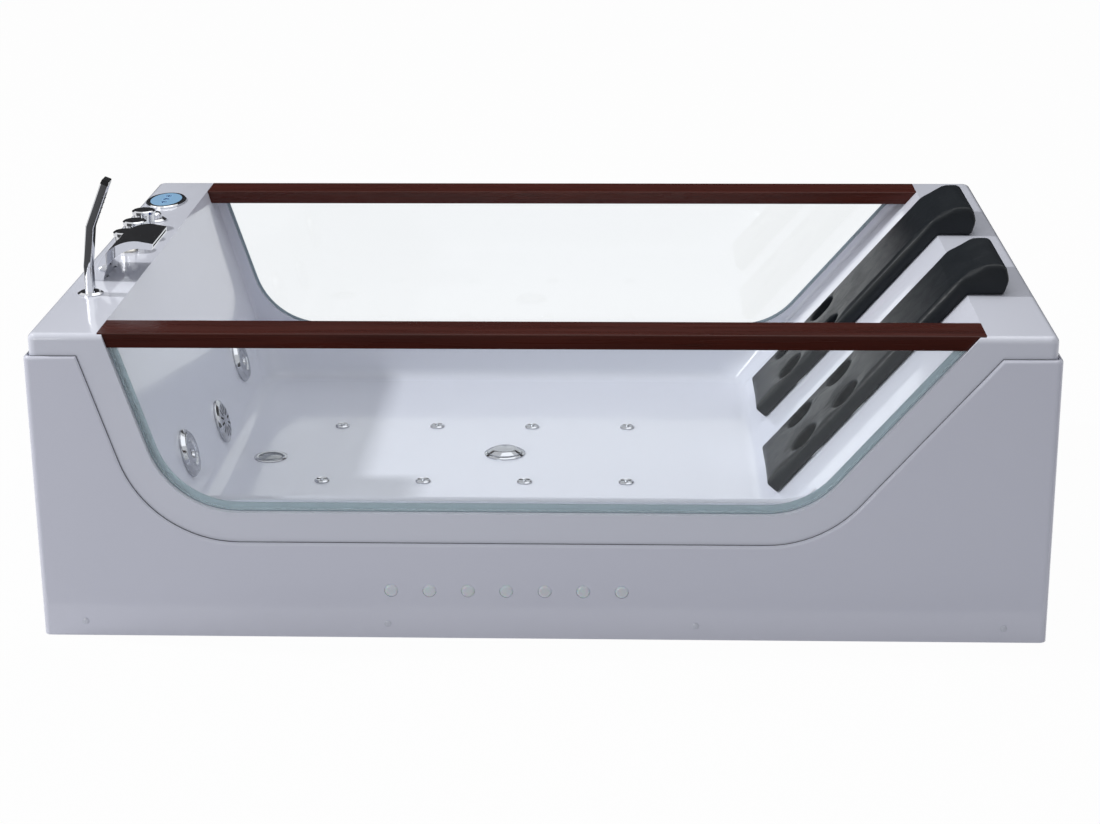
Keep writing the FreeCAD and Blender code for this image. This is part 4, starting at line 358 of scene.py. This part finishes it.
panel_chrome = metal("panel_chrome", (0.74, 0.75, 0.77), 0.06, 0.12)
panel_black = moulded("panel_black", (0.012, 0.012, 0.014), (0.008, 0.008, 0.01), 0.08, 0.16,
                      Coat_Weight=0.8)
# The display window and keys get a faint emission: a painted glow, not a lamp.
display = moulded("display_window", (0.34, 0.58, 0.82), (0.30, 0.54, 0.80), 0.1, 0.16,
                  Emission_Strength=0.25, Coat_Weight=0.8)
shader_of(display).inputs["Emission Color"].default_value = (0.30, 0.55, 0.85, 1.0)
symbol_blue = moulded("symbol_blue", (0.02, 0.05, 0.19), (0.015, 0.04, 0.16), 0.2, 0.3)
cap_white = moulded("screw_cap_white", (0.7, 0.72, 0.8), (0.68, 0.7, 0.78), 0.2, 0.3)

# %% [markdown]
# ## Finishes onto the CAD pieces
#
# The CAD meshes arrive as loose triangles. Their shape stays untouched; two modifiers weld the
# triangles and split them again only at sharp edges, so round forms shade smoothly.

# %% Dress the CAD pieces
SHARP_ANGLE = 30.0
MERGE_DISTANCE = 0.00001

FINISHES = {
    acrylic: ["tub_shell"],
    skirt_acrylic: ["front_skirt", "rear_skirt", "foot_end_skirt", "head_end_skirt"],
    glass: ["front_glass", "rear_glass"],
    tape: ["glass_seals"],
    rail_wood: ["front_rail", "rear_rail"],
    steel: ["rail_screws", "levelling_feet"],
    zinc: ["base_frame", "skirt_brackets"],
    frosted: ["skirt_light_lenses"],
    smoked: ["floor_light_lens"],
    light_box: ["skirt_light_strip"],
    plywood: ["floor_board"],
    chrome: ["shower_sleeve", "hand_shower_handle", "waterfall_spout", "diverter_knob", "hot_knob",
             "cold_knob", "air_control_base", "air_control_knob"],
    shaded_bath_chrome: ["front_jet_ring", "rear_jet_ring", "front_jet_nozzle", "rear_jet_nozzle",
                 "suction_cover", "drain_flange", "drain_cap", "floor_light_ring", "back_jets",
                 "bubble_jets"],
    nickel: ["deck_valves", "deck_nuts"],
    panel_chrome: ["control_panel"],
    display: ["panel_lens", "jets_key", "air_key", "light_key"],
    spray_rubber: ["hand_shower_face"],
    dark_cap: ["hand_shower_end_cap"],
    pipe_plastic: ["jet_bodies", "suction_fitting", "suction_pipe", "jet_pipe", "pressure_pipe",
                   "back_manifold", "air_pipes", "waste_trap"],
    pump_plastic: ["pump_casing", "air_blower"],
    motor_paint: ["pump_motor"],
    box_plastic: ["control_box"],
    cap_white: ["skirt_screws"],
}


def shade_smooth(mesh):
    mesh.polygons.foreach_set("use_smooth", [True] * len(mesh.polygons))


def smooth_shading(piece):
    """Smooth shading that keeps the sharp edges sharp."""
    shade_smooth(piece.data)
    if "custom_normal" in piece.data.attributes:
        piece.data.attributes.remove(piece.data.attributes["custom_normal"])
    weld = piece.modifiers.new("weld", "WELD")
    weld.merge_threshold = MERGE_DISTANCE
    split = piece.modifiers.new("sharp_edges", "EDGE_SPLIT")
    split.split_angle = math.radians(SHARP_ANGLE)


def dress(name, material):
    piece = nodes[name]
    piece.data.materials.clear()
    piece.data.materials.append(material)
    smooth_shading(piece)


for material, names in FINISHES.items():
    for name in names:
        dress(name, material)
print(sum(len(names) for names in FINISHES.values()), "CAD pieces dressed")

# %% [markdown]
# ## Back pads
#
# The pads are moulded foam with a tough grained skin: flat faces, soft edges, four round holes. Each
# starts from its CAD solid. A voxel remesh turns the solid into an even skin, a short cloth
# simulation with a little air pressure crowns the faces and pulls the edges round, and a cap on the
# movement keeps the foam firm.

# %% Pad skin material
def pad_skin():
    material = new_material("grained_foam_skin", (0.022, 0.025, 0.027), 0.5,
                            Specular_IOR_Level=0.2)
    tree = material.node_tree
    vector = object_coordinates(tree)
    tone = use_group(material, "tone", vector, Light=(0.011, 0.014, 0.017, 1.0),
                     Dark=(0.008, 0.010, 0.013, 1.0), Scale=9.0)
    feed(material, tone, "Base Color")
    handling = use_group(material, "handling", vector, Clean=0.34, Worn=0.46, Scale=25.0)
    feed(material, handling, "Roughness")
    grain = add(tree, "ShaderNodeTexVoronoi", {"Scale": 700.0, "Randomness": 1.0}, feature="SMOOTH_F1")
    tree.links.new(vector, grain.inputs["Vector"])
    add_bump(material, grain.outputs["Distance"], 0.22, 0.0004)
    return material


foam_skin = pad_skin()

# %% Build the pads
PAD_VOXEL = 0.0027
PAD_SMOOTHING = 4
PAD_PRESSURE = 3.0
PAD_SWELL = 0.0022
PAD_FRAMES = 16


def place_mesh(name, mesh):
    """A new object for a mesh, in the scene at the origin."""
    piece = bpy.data.objects.new(name, mesh)
    scene.collection.objects.link(piece)
    return piece


def joined_shape(name):
    """A CAD piece's mesh with its loose triangles joined up."""
    shape = bmesh.new()
    shape.from_mesh(nodes[name].data)
    bmesh.ops.remove_doubles(shape, verts=shape.verts, dist=MERGE_DISTANCE)
    return shape


def welded_copy(name, title):
    """A joined-up copy of a CAD piece, ready to edit."""
    mesh = nodes[name].data.copy()
    shape = joined_shape(name)
    shape.to_mesh(mesh)
    shape.free()
    mesh.name = title
    return place_mesh(title, mesh)


def apply_modifiers(piece):
    """Bakes the live modifiers into the mesh."""
    ready = piece.evaluated_get(bpy.context.evaluated_depsgraph_get())
    mesh = bpy.data.meshes.new_from_object(ready)
    piece.modifiers.clear()
    piece.data = mesh


def remesh(piece, voxel):
    skin = piece.modifiers.new("even_skin", "REMESH")
    skin.mode = "VOXEL"
    skin.voxel_size = voxel
    apply_modifiers(piece)


def swell(piece, pressure, frames, limit):
    """Blows the skin up a little with the cloth solver, and caps how far it moves."""
    rest = [vertex.co.copy() for vertex in piece.data.vertices]
    cloth = piece.modifiers.new("air", "CLOTH")
    cloth.settings.use_pressure = True
    cloth.settings.uniform_pressure_force = pressure
    cloth.settings.effector_weights.gravity = 0.0
    cloth.settings.quality = 4
    cloth.settings.tension_stiffness = 40.0
    cloth.settings.bending_stiffness = 4.0
    cloth.collision_settings.use_collision = False
    cloth.point_cache.frame_end = frames
    for step in range(1, frames + 1):
        scene.frame_set(step)
    apply_modifiers(piece)
    scene.frame_set(1)
    for vertex, start in zip(piece.data.vertices, rest):
        move = vertex.co - start
        if move.length > limit:
            vertex.co = start + move * (limit / move.length)


def soften(piece, times):
    """Evens out the skin without moving it far."""
    shape = bmesh.new()
    shape.from_mesh(piece.data)
    for _ in range(times):
        bmesh.ops.smooth_vert(shape, verts=shape.verts, factor=0.5, use_axis_x=True,
                              use_axis_y=True, use_axis_z=True)
    shape.to_mesh(piece.data)
    shape.free()


def back_pad(name, body):
    pad = welded_copy(name, name + "_skin")
    remesh(pad, PAD_VOXEL)
    soften(pad, PAD_SMOOTHING)
    swell(pad, PAD_PRESSURE, PAD_FRAMES, PAD_SWELL)
    pad.data.materials.clear()
    pad.data.materials.append(foam_skin)
    shade_smooth(pad.data)
    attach(pad, body)
    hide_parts(name)
    print(pad.name, len(pad.data.polygons), "faces")


back_pad("front_pad", "front_headrest")
back_pad("rear_pad", "rear_headrest")

# %% [markdown]
# ## Non-slip dots
#
# The floor of the bath has a field of very low moulded dots. One dot is a flat six-sided cone, which
# smooth shading turns into a soft dome. Dots that would touch a fitting are left out.

# %% Non-slip dots
FLOOR = 0.143
DOT_PITCH = 0.0095
DOT_RADIUS = 0.0024
DOT_RISE = 0.0003
DOTS_FROM = (-0.50, -0.42)
DOTS_TO = (0.345, 0.42)
BUBBLE_JETS_X = (-0.45, -0.25, -0.05, 0.15)
BUBBLE_JETS_Y = (-0.168, 0.168)
BUBBLE_JET_RADIUS = 0.015


def fitting_circles():
    """Centres and radii to keep clear, read from the CAD pieces."""
    circles = []
    for name in ("drain_flange", "floor_light_ring"):
        low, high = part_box(name)
        circles.append(((low + high) / 2, (high.x - low.x) / 2))
    for x in BUBBLE_JETS_X:
        for y in BUBBLE_JETS_Y:
            circles.append((Vector((x, y, FLOOR)), BUBBLE_JET_RADIUS))
    return circles


def dot_places():
    columns = int((DOTS_TO[0] - DOTS_FROM[0]) / DOT_PITCH)
    rows = int((DOTS_TO[1] - DOTS_FROM[1]) / DOT_PITCH)
    circles = fitting_circles()
    for column in range(columns):
        for row in range(rows):
            x = DOTS_FROM[0] + (column + 0.5 * (row % 2)) * DOT_PITCH
            y = DOTS_FROM[1] + row * DOT_PITCH
            if all(math.hypot(x - c.x, y - c.y) > r + 2 * DOT_RADIUS for c, r in circles):
                yield Vector((x, y, FLOOR))


def one_dot():
    """Points and faces of a single low cone."""
    shape = bmesh.new()
    bmesh.ops.create_cone(shape, cap_ends=False, segments=6, radius1=DOT_RADIUS, radius2=0.0,
                          depth=DOT_RISE, matrix=Matrix.Translation((0, 0, DOT_RISE / 2)))
    bmesh.ops.remove_doubles(shape, verts=shape.verts, dist=MERGE_DISTANCE)
    shape.verts.index_update()
    points = [vertex.co.copy() for vertex in shape.verts]
    faces = [[vertex.index for vertex in face.verts] for face in shape.faces]
    shape.free()
    return points, faces


def nonslip_dots():
    """The dot pattern as one mesh; joining lists is far quicker than growing a bmesh dot by dot."""
    points, faces = one_dot()
    all_points = []
    all_faces = []
    for place in dot_places():
        start = len(all_points)
        all_points.extend(place + point for point in points)
        all_faces.extend([start + index for index in face] for face in faces)
    mesh = bpy.data.meshes.new("nonslip_dots")
    mesh.from_pydata(all_points, [], all_faces)
    shade_smooth(mesh)
    mesh.materials.append(acrylic)
    dots = place_mesh("nonslip_dots", mesh)
    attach(dots, "tub")
    print("non-slip dots:", len(mesh.polygons), "faces")


nonslip_dots()

# %% [markdown]
# ## Symbols on the keys
#
# Three plain symbols: a fan of blades for the jets, three bubbles for the air, a sun for the light.
# They are thin raised prints, built from flat circles and blocks and laid on the keys.

# %% Key symbols
SYMBOL_RISE = 0.0003
BLADES = 3
BLADE_REACH = 0.0042
BLADE_SIZE = (0.0072, 0.0030, SYMBOL_RISE)
BLADE_SWEEP = 0.6
BUBBLES = ((-0.003, -0.003, 0.0030), (0.0036, 0.0, 0.0034), (-0.0018, 0.0046, 0.0022))
SUN_RADIUS = 0.0029
SUN_RAYS = 8
RAY_REACH = 0.0058
RAY_SIZE = (0.0030, 0.0013, SYMBOL_RISE)


def block(shape, center, size, turn=0.0):
    """A small block, turned about its own upright axis."""
    place = Matrix.Translation(center) @ Matrix.Rotation(turn, 4, "Z") @ Matrix.Diagonal((*size, 1))
    bmesh.ops.create_cube(shape, size=1.0, matrix=place)


def disc(shape, center, radius, height):
    bmesh.ops.create_cone(shape, cap_ends=True, cap_tris=False, segments=20, radius1=radius,
                          radius2=radius, depth=height, matrix=Matrix.Translation(center))


def finish_piece(shape, name, material, body):
    """Turns a bmesh into a named piece that rides on a body."""
    bmesh.ops.recalc_face_normals(shape, faces=shape.faces)
    mesh = bpy.data.meshes.new(name)
    shape.to_mesh(mesh)
    shape.free()
    mesh.materials.append(material)
    piece = place_mesh(name, mesh)
    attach(piece, body)


def key_top(name):
    low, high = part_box(name)
    return Vector(((low.x + high.x) / 2, (low.y + high.y) / 2, high.z + SYMBOL_RISE / 2))


def outward(angle):
    """A level direction at an angle."""
    return Vector((math.cos(angle), math.sin(angle), 0))


def key_symbols():
    top = key_top("jets_key")
    shape = bmesh.new()
    for turn in range(BLADES):
        angle = math.radians(360 // BLADES * turn)
        block(shape, top + outward(angle) * BLADE_REACH, BLADE_SIZE, angle + BLADE_SWEEP)
    finish_piece(shape, "jets_symbol", symbol_blue, "jets_button")
    top = key_top("air_key")
    shape = bmesh.new()
    for x, y, radius in BUBBLES:
        disc(shape, top + Vector((x, y, 0)), radius, SYMBOL_RISE)
    finish_piece(shape, "air_symbol", symbol_blue, "air_button")
    top = key_top("light_key")
    shape = bmesh.new()
    disc(shape, top, SUN_RADIUS, SYMBOL_RISE)
    for turn in range(SUN_RAYS):
        angle = math.radians(360 // SUN_RAYS * turn)
        block(shape, top + outward(angle) * RAY_REACH, RAY_SIZE, angle)
    finish_piece(shape, "light_symbol", symbol_blue, "light_button")


key_symbols()

# %% [markdown]
# ## Painted shadow lines in the seams
#
# A thin dark line of painted shadow lies where each skirt meets the shell, in place of the shade in
# the gap between them. Its line is the skirt's own outline: a plane cuts the CAD mesh just in front
# of its back face, the cut's edges are followed where the shell is their neighbour, and each becomes a
# thin six-sided tube.

# %% Seam shadow lines
SHADOW_LINE_RADIUS = 0.0008
SHADOW_LINE_DEPTH = 0.0014
SKIRT_THICKNESS = 0.0072
SEAM_FLOOR = 0.05
SEAM_END = 0.02
SEAM_STEEPEST = 4
SHORTEST_EDGE = 1e-5


def cut_edges(name, axis, level):
    """End points of the edges where a plane across an axis cuts a CAD piece."""
    shape = joined_shape(name)
    normal = Vector([1.0 if i == axis else 0.0 for i in range(3)])
    cut = bmesh.ops.bisect_plane(shape, geom=shape.verts[:] + shape.edges[:] + shape.faces[:],
                                 plane_co=normal * level, plane_no=normal)
    pairs = [tuple(vertex.co.copy() for vertex in item.verts) for item in cut["geom_cut"]
             if isinstance(item, bmesh.types.BMEdge)]
    shape.free()
    return pairs


def add_rod(shape, start, end, radius):
    """A thin closed six-sided rod between two points."""
    along = end - start
    turn = along.to_track_quat("Z", "Y").to_matrix().to_4x4()
    place = Matrix.Translation((start + end) / 2) @ turn
    bmesh.ops.create_cone(shape, cap_ends=True, segments=6, radius1=radius, radius2=radius,
                          depth=along.length + radius, matrix=place)


# Each seam line is painted shadow: a thin dark tube where the skirt meets the shell.
def seam_shadow_line(name, axis, side):
    low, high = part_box(name)
    across = 1 - axis
    level = side * (max(abs(low[axis]), abs(high[axis])) - SKIRT_THICKNESS + SHADOW_LINE_DEPTH)
    end = max(abs(low[across]), abs(high[across])) - SEAM_END
    shape = bmesh.new()
    for start, stop in cut_edges(name, axis, level):
        middle = (start + stop) / 2
        beside_shell = middle.z > SEAM_FLOOR and abs(middle[across]) < end
        not_steep = abs(start.z - stop.z) < abs(start[across] - stop[across]) * SEAM_STEEPEST
        if beside_shell and not_steep and (stop - start).length > SHORTEST_EDGE:
            add_rod(shape, start, stop, SHADOW_LINE_RADIUS)
    finish_piece(shape, name + "_seam", seam_shadow_paint, "tub")


# Dark colour of the seam lines: painted shadow of the gap between skirt and shell.
seam_shadow_paint = moulded("painted_seam_shadow", (0.055, 0.057, 0.065), (0.04, 0.042, 0.05), 0.5, 0.7, peel=0.2)
for name, axis, side in (("front_skirt", 1, -1), ("rear_skirt", 1, 1), ("foot_end_skirt", 0, -1),
                         ("head_end_skirt", 0, 1)):
    seam_shadow_line(name, axis, side)

# %% [markdown]
# ## Small prints: the panel's black border and the cold mark
#
# The panel's chrome holds a thin black oval border round its window. The cold knob carries a small
# blue dot on the side that faces the bather.

# %% Border and cold mark
BORDER_WIDTH = 0.0045
BORDER_RISE = 0.0004
BORDER_STEPS = 72
MARK_ANGLE = -48
MARK_DROP = 0.0045
MARK_RADII = (0.0032, 0.0028)
MARK_DEPTH = 0.001


def panel_border():
    """A flat oval ring round the display window."""
    low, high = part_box("panel_lens")
    centre = (low + high) / 2
    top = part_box("control_panel")[1].z
    half_x = (high.x - low.x) / 2
    half_y = (high.y - low.y) / 2
    shape = bmesh.new()
    rings = []
    raised = top + BORDER_RISE
    for grow, z in ((0.0, top), (0.0, raised), (BORDER_WIDTH, raised), (BORDER_WIDTH, top)):
        ring = []
        for i in range(BORDER_STEPS):
            angle = 2 * math.pi * i / BORDER_STEPS
            ring.append(shape.verts.new((centre.x + (half_x + grow) * math.cos(angle),
                                         centre.y + (half_y + grow) * math.sin(angle), z)))
        rings.append(ring)
    for inner, outer in zip(rings, rings[1:] + rings[:1]):
        for i in range(BORDER_STEPS):
            j = (i + 1) % BORDER_STEPS
            shape.faces.new((inner[i], inner[j], outer[j], outer[i]))
    finish_piece(shape, "panel_border", panel_black, "tub")


def cold_mark():
    """A blue dot on the rim of the cold knob's cap."""
    low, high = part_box("cold_knob")
    centre = (low + high) / 2
    radius = (high.x - low.x) / 2
    out = outward(math.radians(MARK_ANGLE))
    place = Vector((centre.x, centre.y, high.z - MARK_DROP)) + out * radius
    turn = out.to_track_quat("Z", "Y").to_matrix().to_4x4()
    shape = bmesh.new()
    bmesh.ops.create_cone(shape, cap_ends=True, segments=20, radius1=MARK_RADII[0],
                          radius2=MARK_RADII[1], depth=MARK_DEPTH,
                          matrix=Matrix.Translation(place) @ turn)
    finish_piece(shape, "cold_mark", symbol_blue, "cold_tap")


panel_border()
cold_mark()

# %% [markdown]
# ## Studio
#
# The background is white paper that runs to the horizon. The floor shows white to the camera and to
# reflections but still takes part of its light from the lamps, so a faint shadow stays under the tub.
# A soft lamp above lights the deck more than the skirts, and a small hard one on the left throws the
# short crisp shadows of the pads and taps, as in the photograph.

# %% Floor and world
WHITE_SHARE = 0.975
FLOOR_SIZE = 20.0
WORLD_STRENGTH = 0.32


def seen_rays(tree):
    """1 for rays from the camera, from a gloss or through glass; 0 for the rest."""
    rays = add(tree, "ShaderNodeLightPath")
    seen = add(tree, "ShaderNodeMath", operation="MAXIMUM")
    seen_too = add(tree, "ShaderNodeMath", operation="MAXIMUM")
    tree.links.new(rays.outputs["Is Camera Ray"], seen.inputs[0])
    tree.links.new(rays.outputs["Is Glossy Ray"], seen.inputs[1])
    tree.links.new(seen.outputs[0], seen_too.inputs[0])
    tree.links.new(rays.outputs["Is Transmission Ray"], seen_too.inputs[1])
    return seen_too.outputs[0]


def paper_material():
    material = new_material("white_paper", (0.60, 0.60, 0.62), 0.9)
    tree = material.node_tree
    share = add(tree, "ShaderNodeMath", {1: WHITE_SHARE}, operation="MULTIPLY")
    white = add(tree, "ShaderNodeEmission", {"Color": (1, 1, 1, 1), "Strength": 1.0})
    mix = add(tree, "ShaderNodeMixShader")
    tree.links.new(seen_rays(tree), share.inputs[0])
    tree.links.new(share.outputs[0], mix.inputs["Fac"])
    tree.links.new(shader_of(material).outputs["BSDF"], mix.inputs[1])
    tree.links.new(white.outputs["Emission"], mix.inputs[2])
    tree.links.new(mix.outputs["Shader"], tree.nodes["Material Output"].inputs["Surface"])
    return material


def make_floor():
    shape = bmesh.new()
    bmesh.ops.create_grid(shape, x_segments=4, y_segments=4, size=FLOOR_SIZE)
    mesh = bpy.data.meshes.new("paper_floor")
    shape.to_mesh(mesh)
    shape.free()
    mesh.materials.append(paper_material())
    floor = place_mesh("paper_floor", mesh)


def make_world():
    world = bpy.data.worlds.new("studio")
    world.use_nodes = True
    tree = world.node_tree
    lit = tree.nodes["Background"]
    lit.inputs["Color"].default_value = (0.95, 0.96, 1.0, 1.0)
    lit.inputs["Strength"].default_value = WORLD_STRENGTH
    white = add(tree, "ShaderNodeBackground", {"Color": (1, 1, 1, 1), "Strength": 1.0})
    mix = add(tree, "ShaderNodeMixShader")
    tree.links.new(seen_rays(tree), mix.inputs["Fac"])
    tree.links.new(lit.outputs["Background"], mix.inputs[1])
    tree.links.new(white.outputs["Background"], mix.inputs[2])
    tree.links.new(mix.outputs["Shader"], tree.nodes["World Output"].inputs["Surface"])
    scene.world = world


make_floor()
make_world()


# %% Lamps
def soft_lamp(name, place, target, size, power):
    lamp = bpy.data.lights.new(name, "AREA")
    lamp.shape = "RECTANGLE"
    lamp.size, lamp.size_y = size
    lamp.energy = power
    holder = bpy.data.objects.new(name, lamp)
    holder.location = place
    holder.rotation_euler = (Vector(target) - Vector(place)).to_track_quat("-Z", "Y").to_euler()
    scene.collection.objects.link(holder)


soft_lamp("overhead", (1.0, 0.3, 3.6), (0.8, 0.0, 0.5), (4.0, 2.6), 36.0)
soft_lamp("key", (-6.5, 0.4, 6.6), (0.0, 0.0, 0.5), (0.5, 0.5), 400.0)
soft_lamp("front_fill", (-3.4, -5.0, 1.8), (0.0, 0.0, 0.3), (2.4, 1.4), 50.0)

# %% [markdown]
# ## Dark cards for the metal and the glass to reflect
#
# Chrome in an all-white room looks like paper, and glass goes milky. A photographer puts dark cards
# where the object mirrors them, out of the picture. One stands behind the tub and one lies on the
# floor before it. They count only for reflections, so they darken neither the picture nor the light.

# %% Dark cards
def dark_card(name, corners):
    mesh = bpy.data.meshes.new(name)
    mesh.from_pydata([Vector(corner) for corner in corners], [], [(0, 1, 2, 3)])
    material = new_material(name, (0.02, 0.02, 0.022), 0.9)
    mesh.materials.append(material)
    card = place_mesh(name, mesh)
    card.visible_camera = False
    card.visible_diffuse = False
    card.visible_transmission = False
    card.visible_shadow = False


CARD_Y = 2.6
CARD_HALF = 5.0
CARD_TOP = 2.8
CARD_NEAR = -0.75
CARD_FAR = -7.0
CARD_LIFT = 0.002
dark_card("card_behind", [(-CARD_HALF, CARD_Y, 0.0), (CARD_HALF, CARD_Y, 0.0),
                          (CARD_HALF, CARD_Y, CARD_TOP), (-CARD_HALF, CARD_Y, CARD_TOP)])
dark_card("card_before", [(-CARD_HALF, CARD_FAR, CARD_LIFT), (CARD_HALF, CARD_FAR, CARD_LIFT),
                          (CARD_HALF, CARD_NEAR, CARD_LIFT), (-CARD_HALF, CARD_NEAR, CARD_LIFT)])
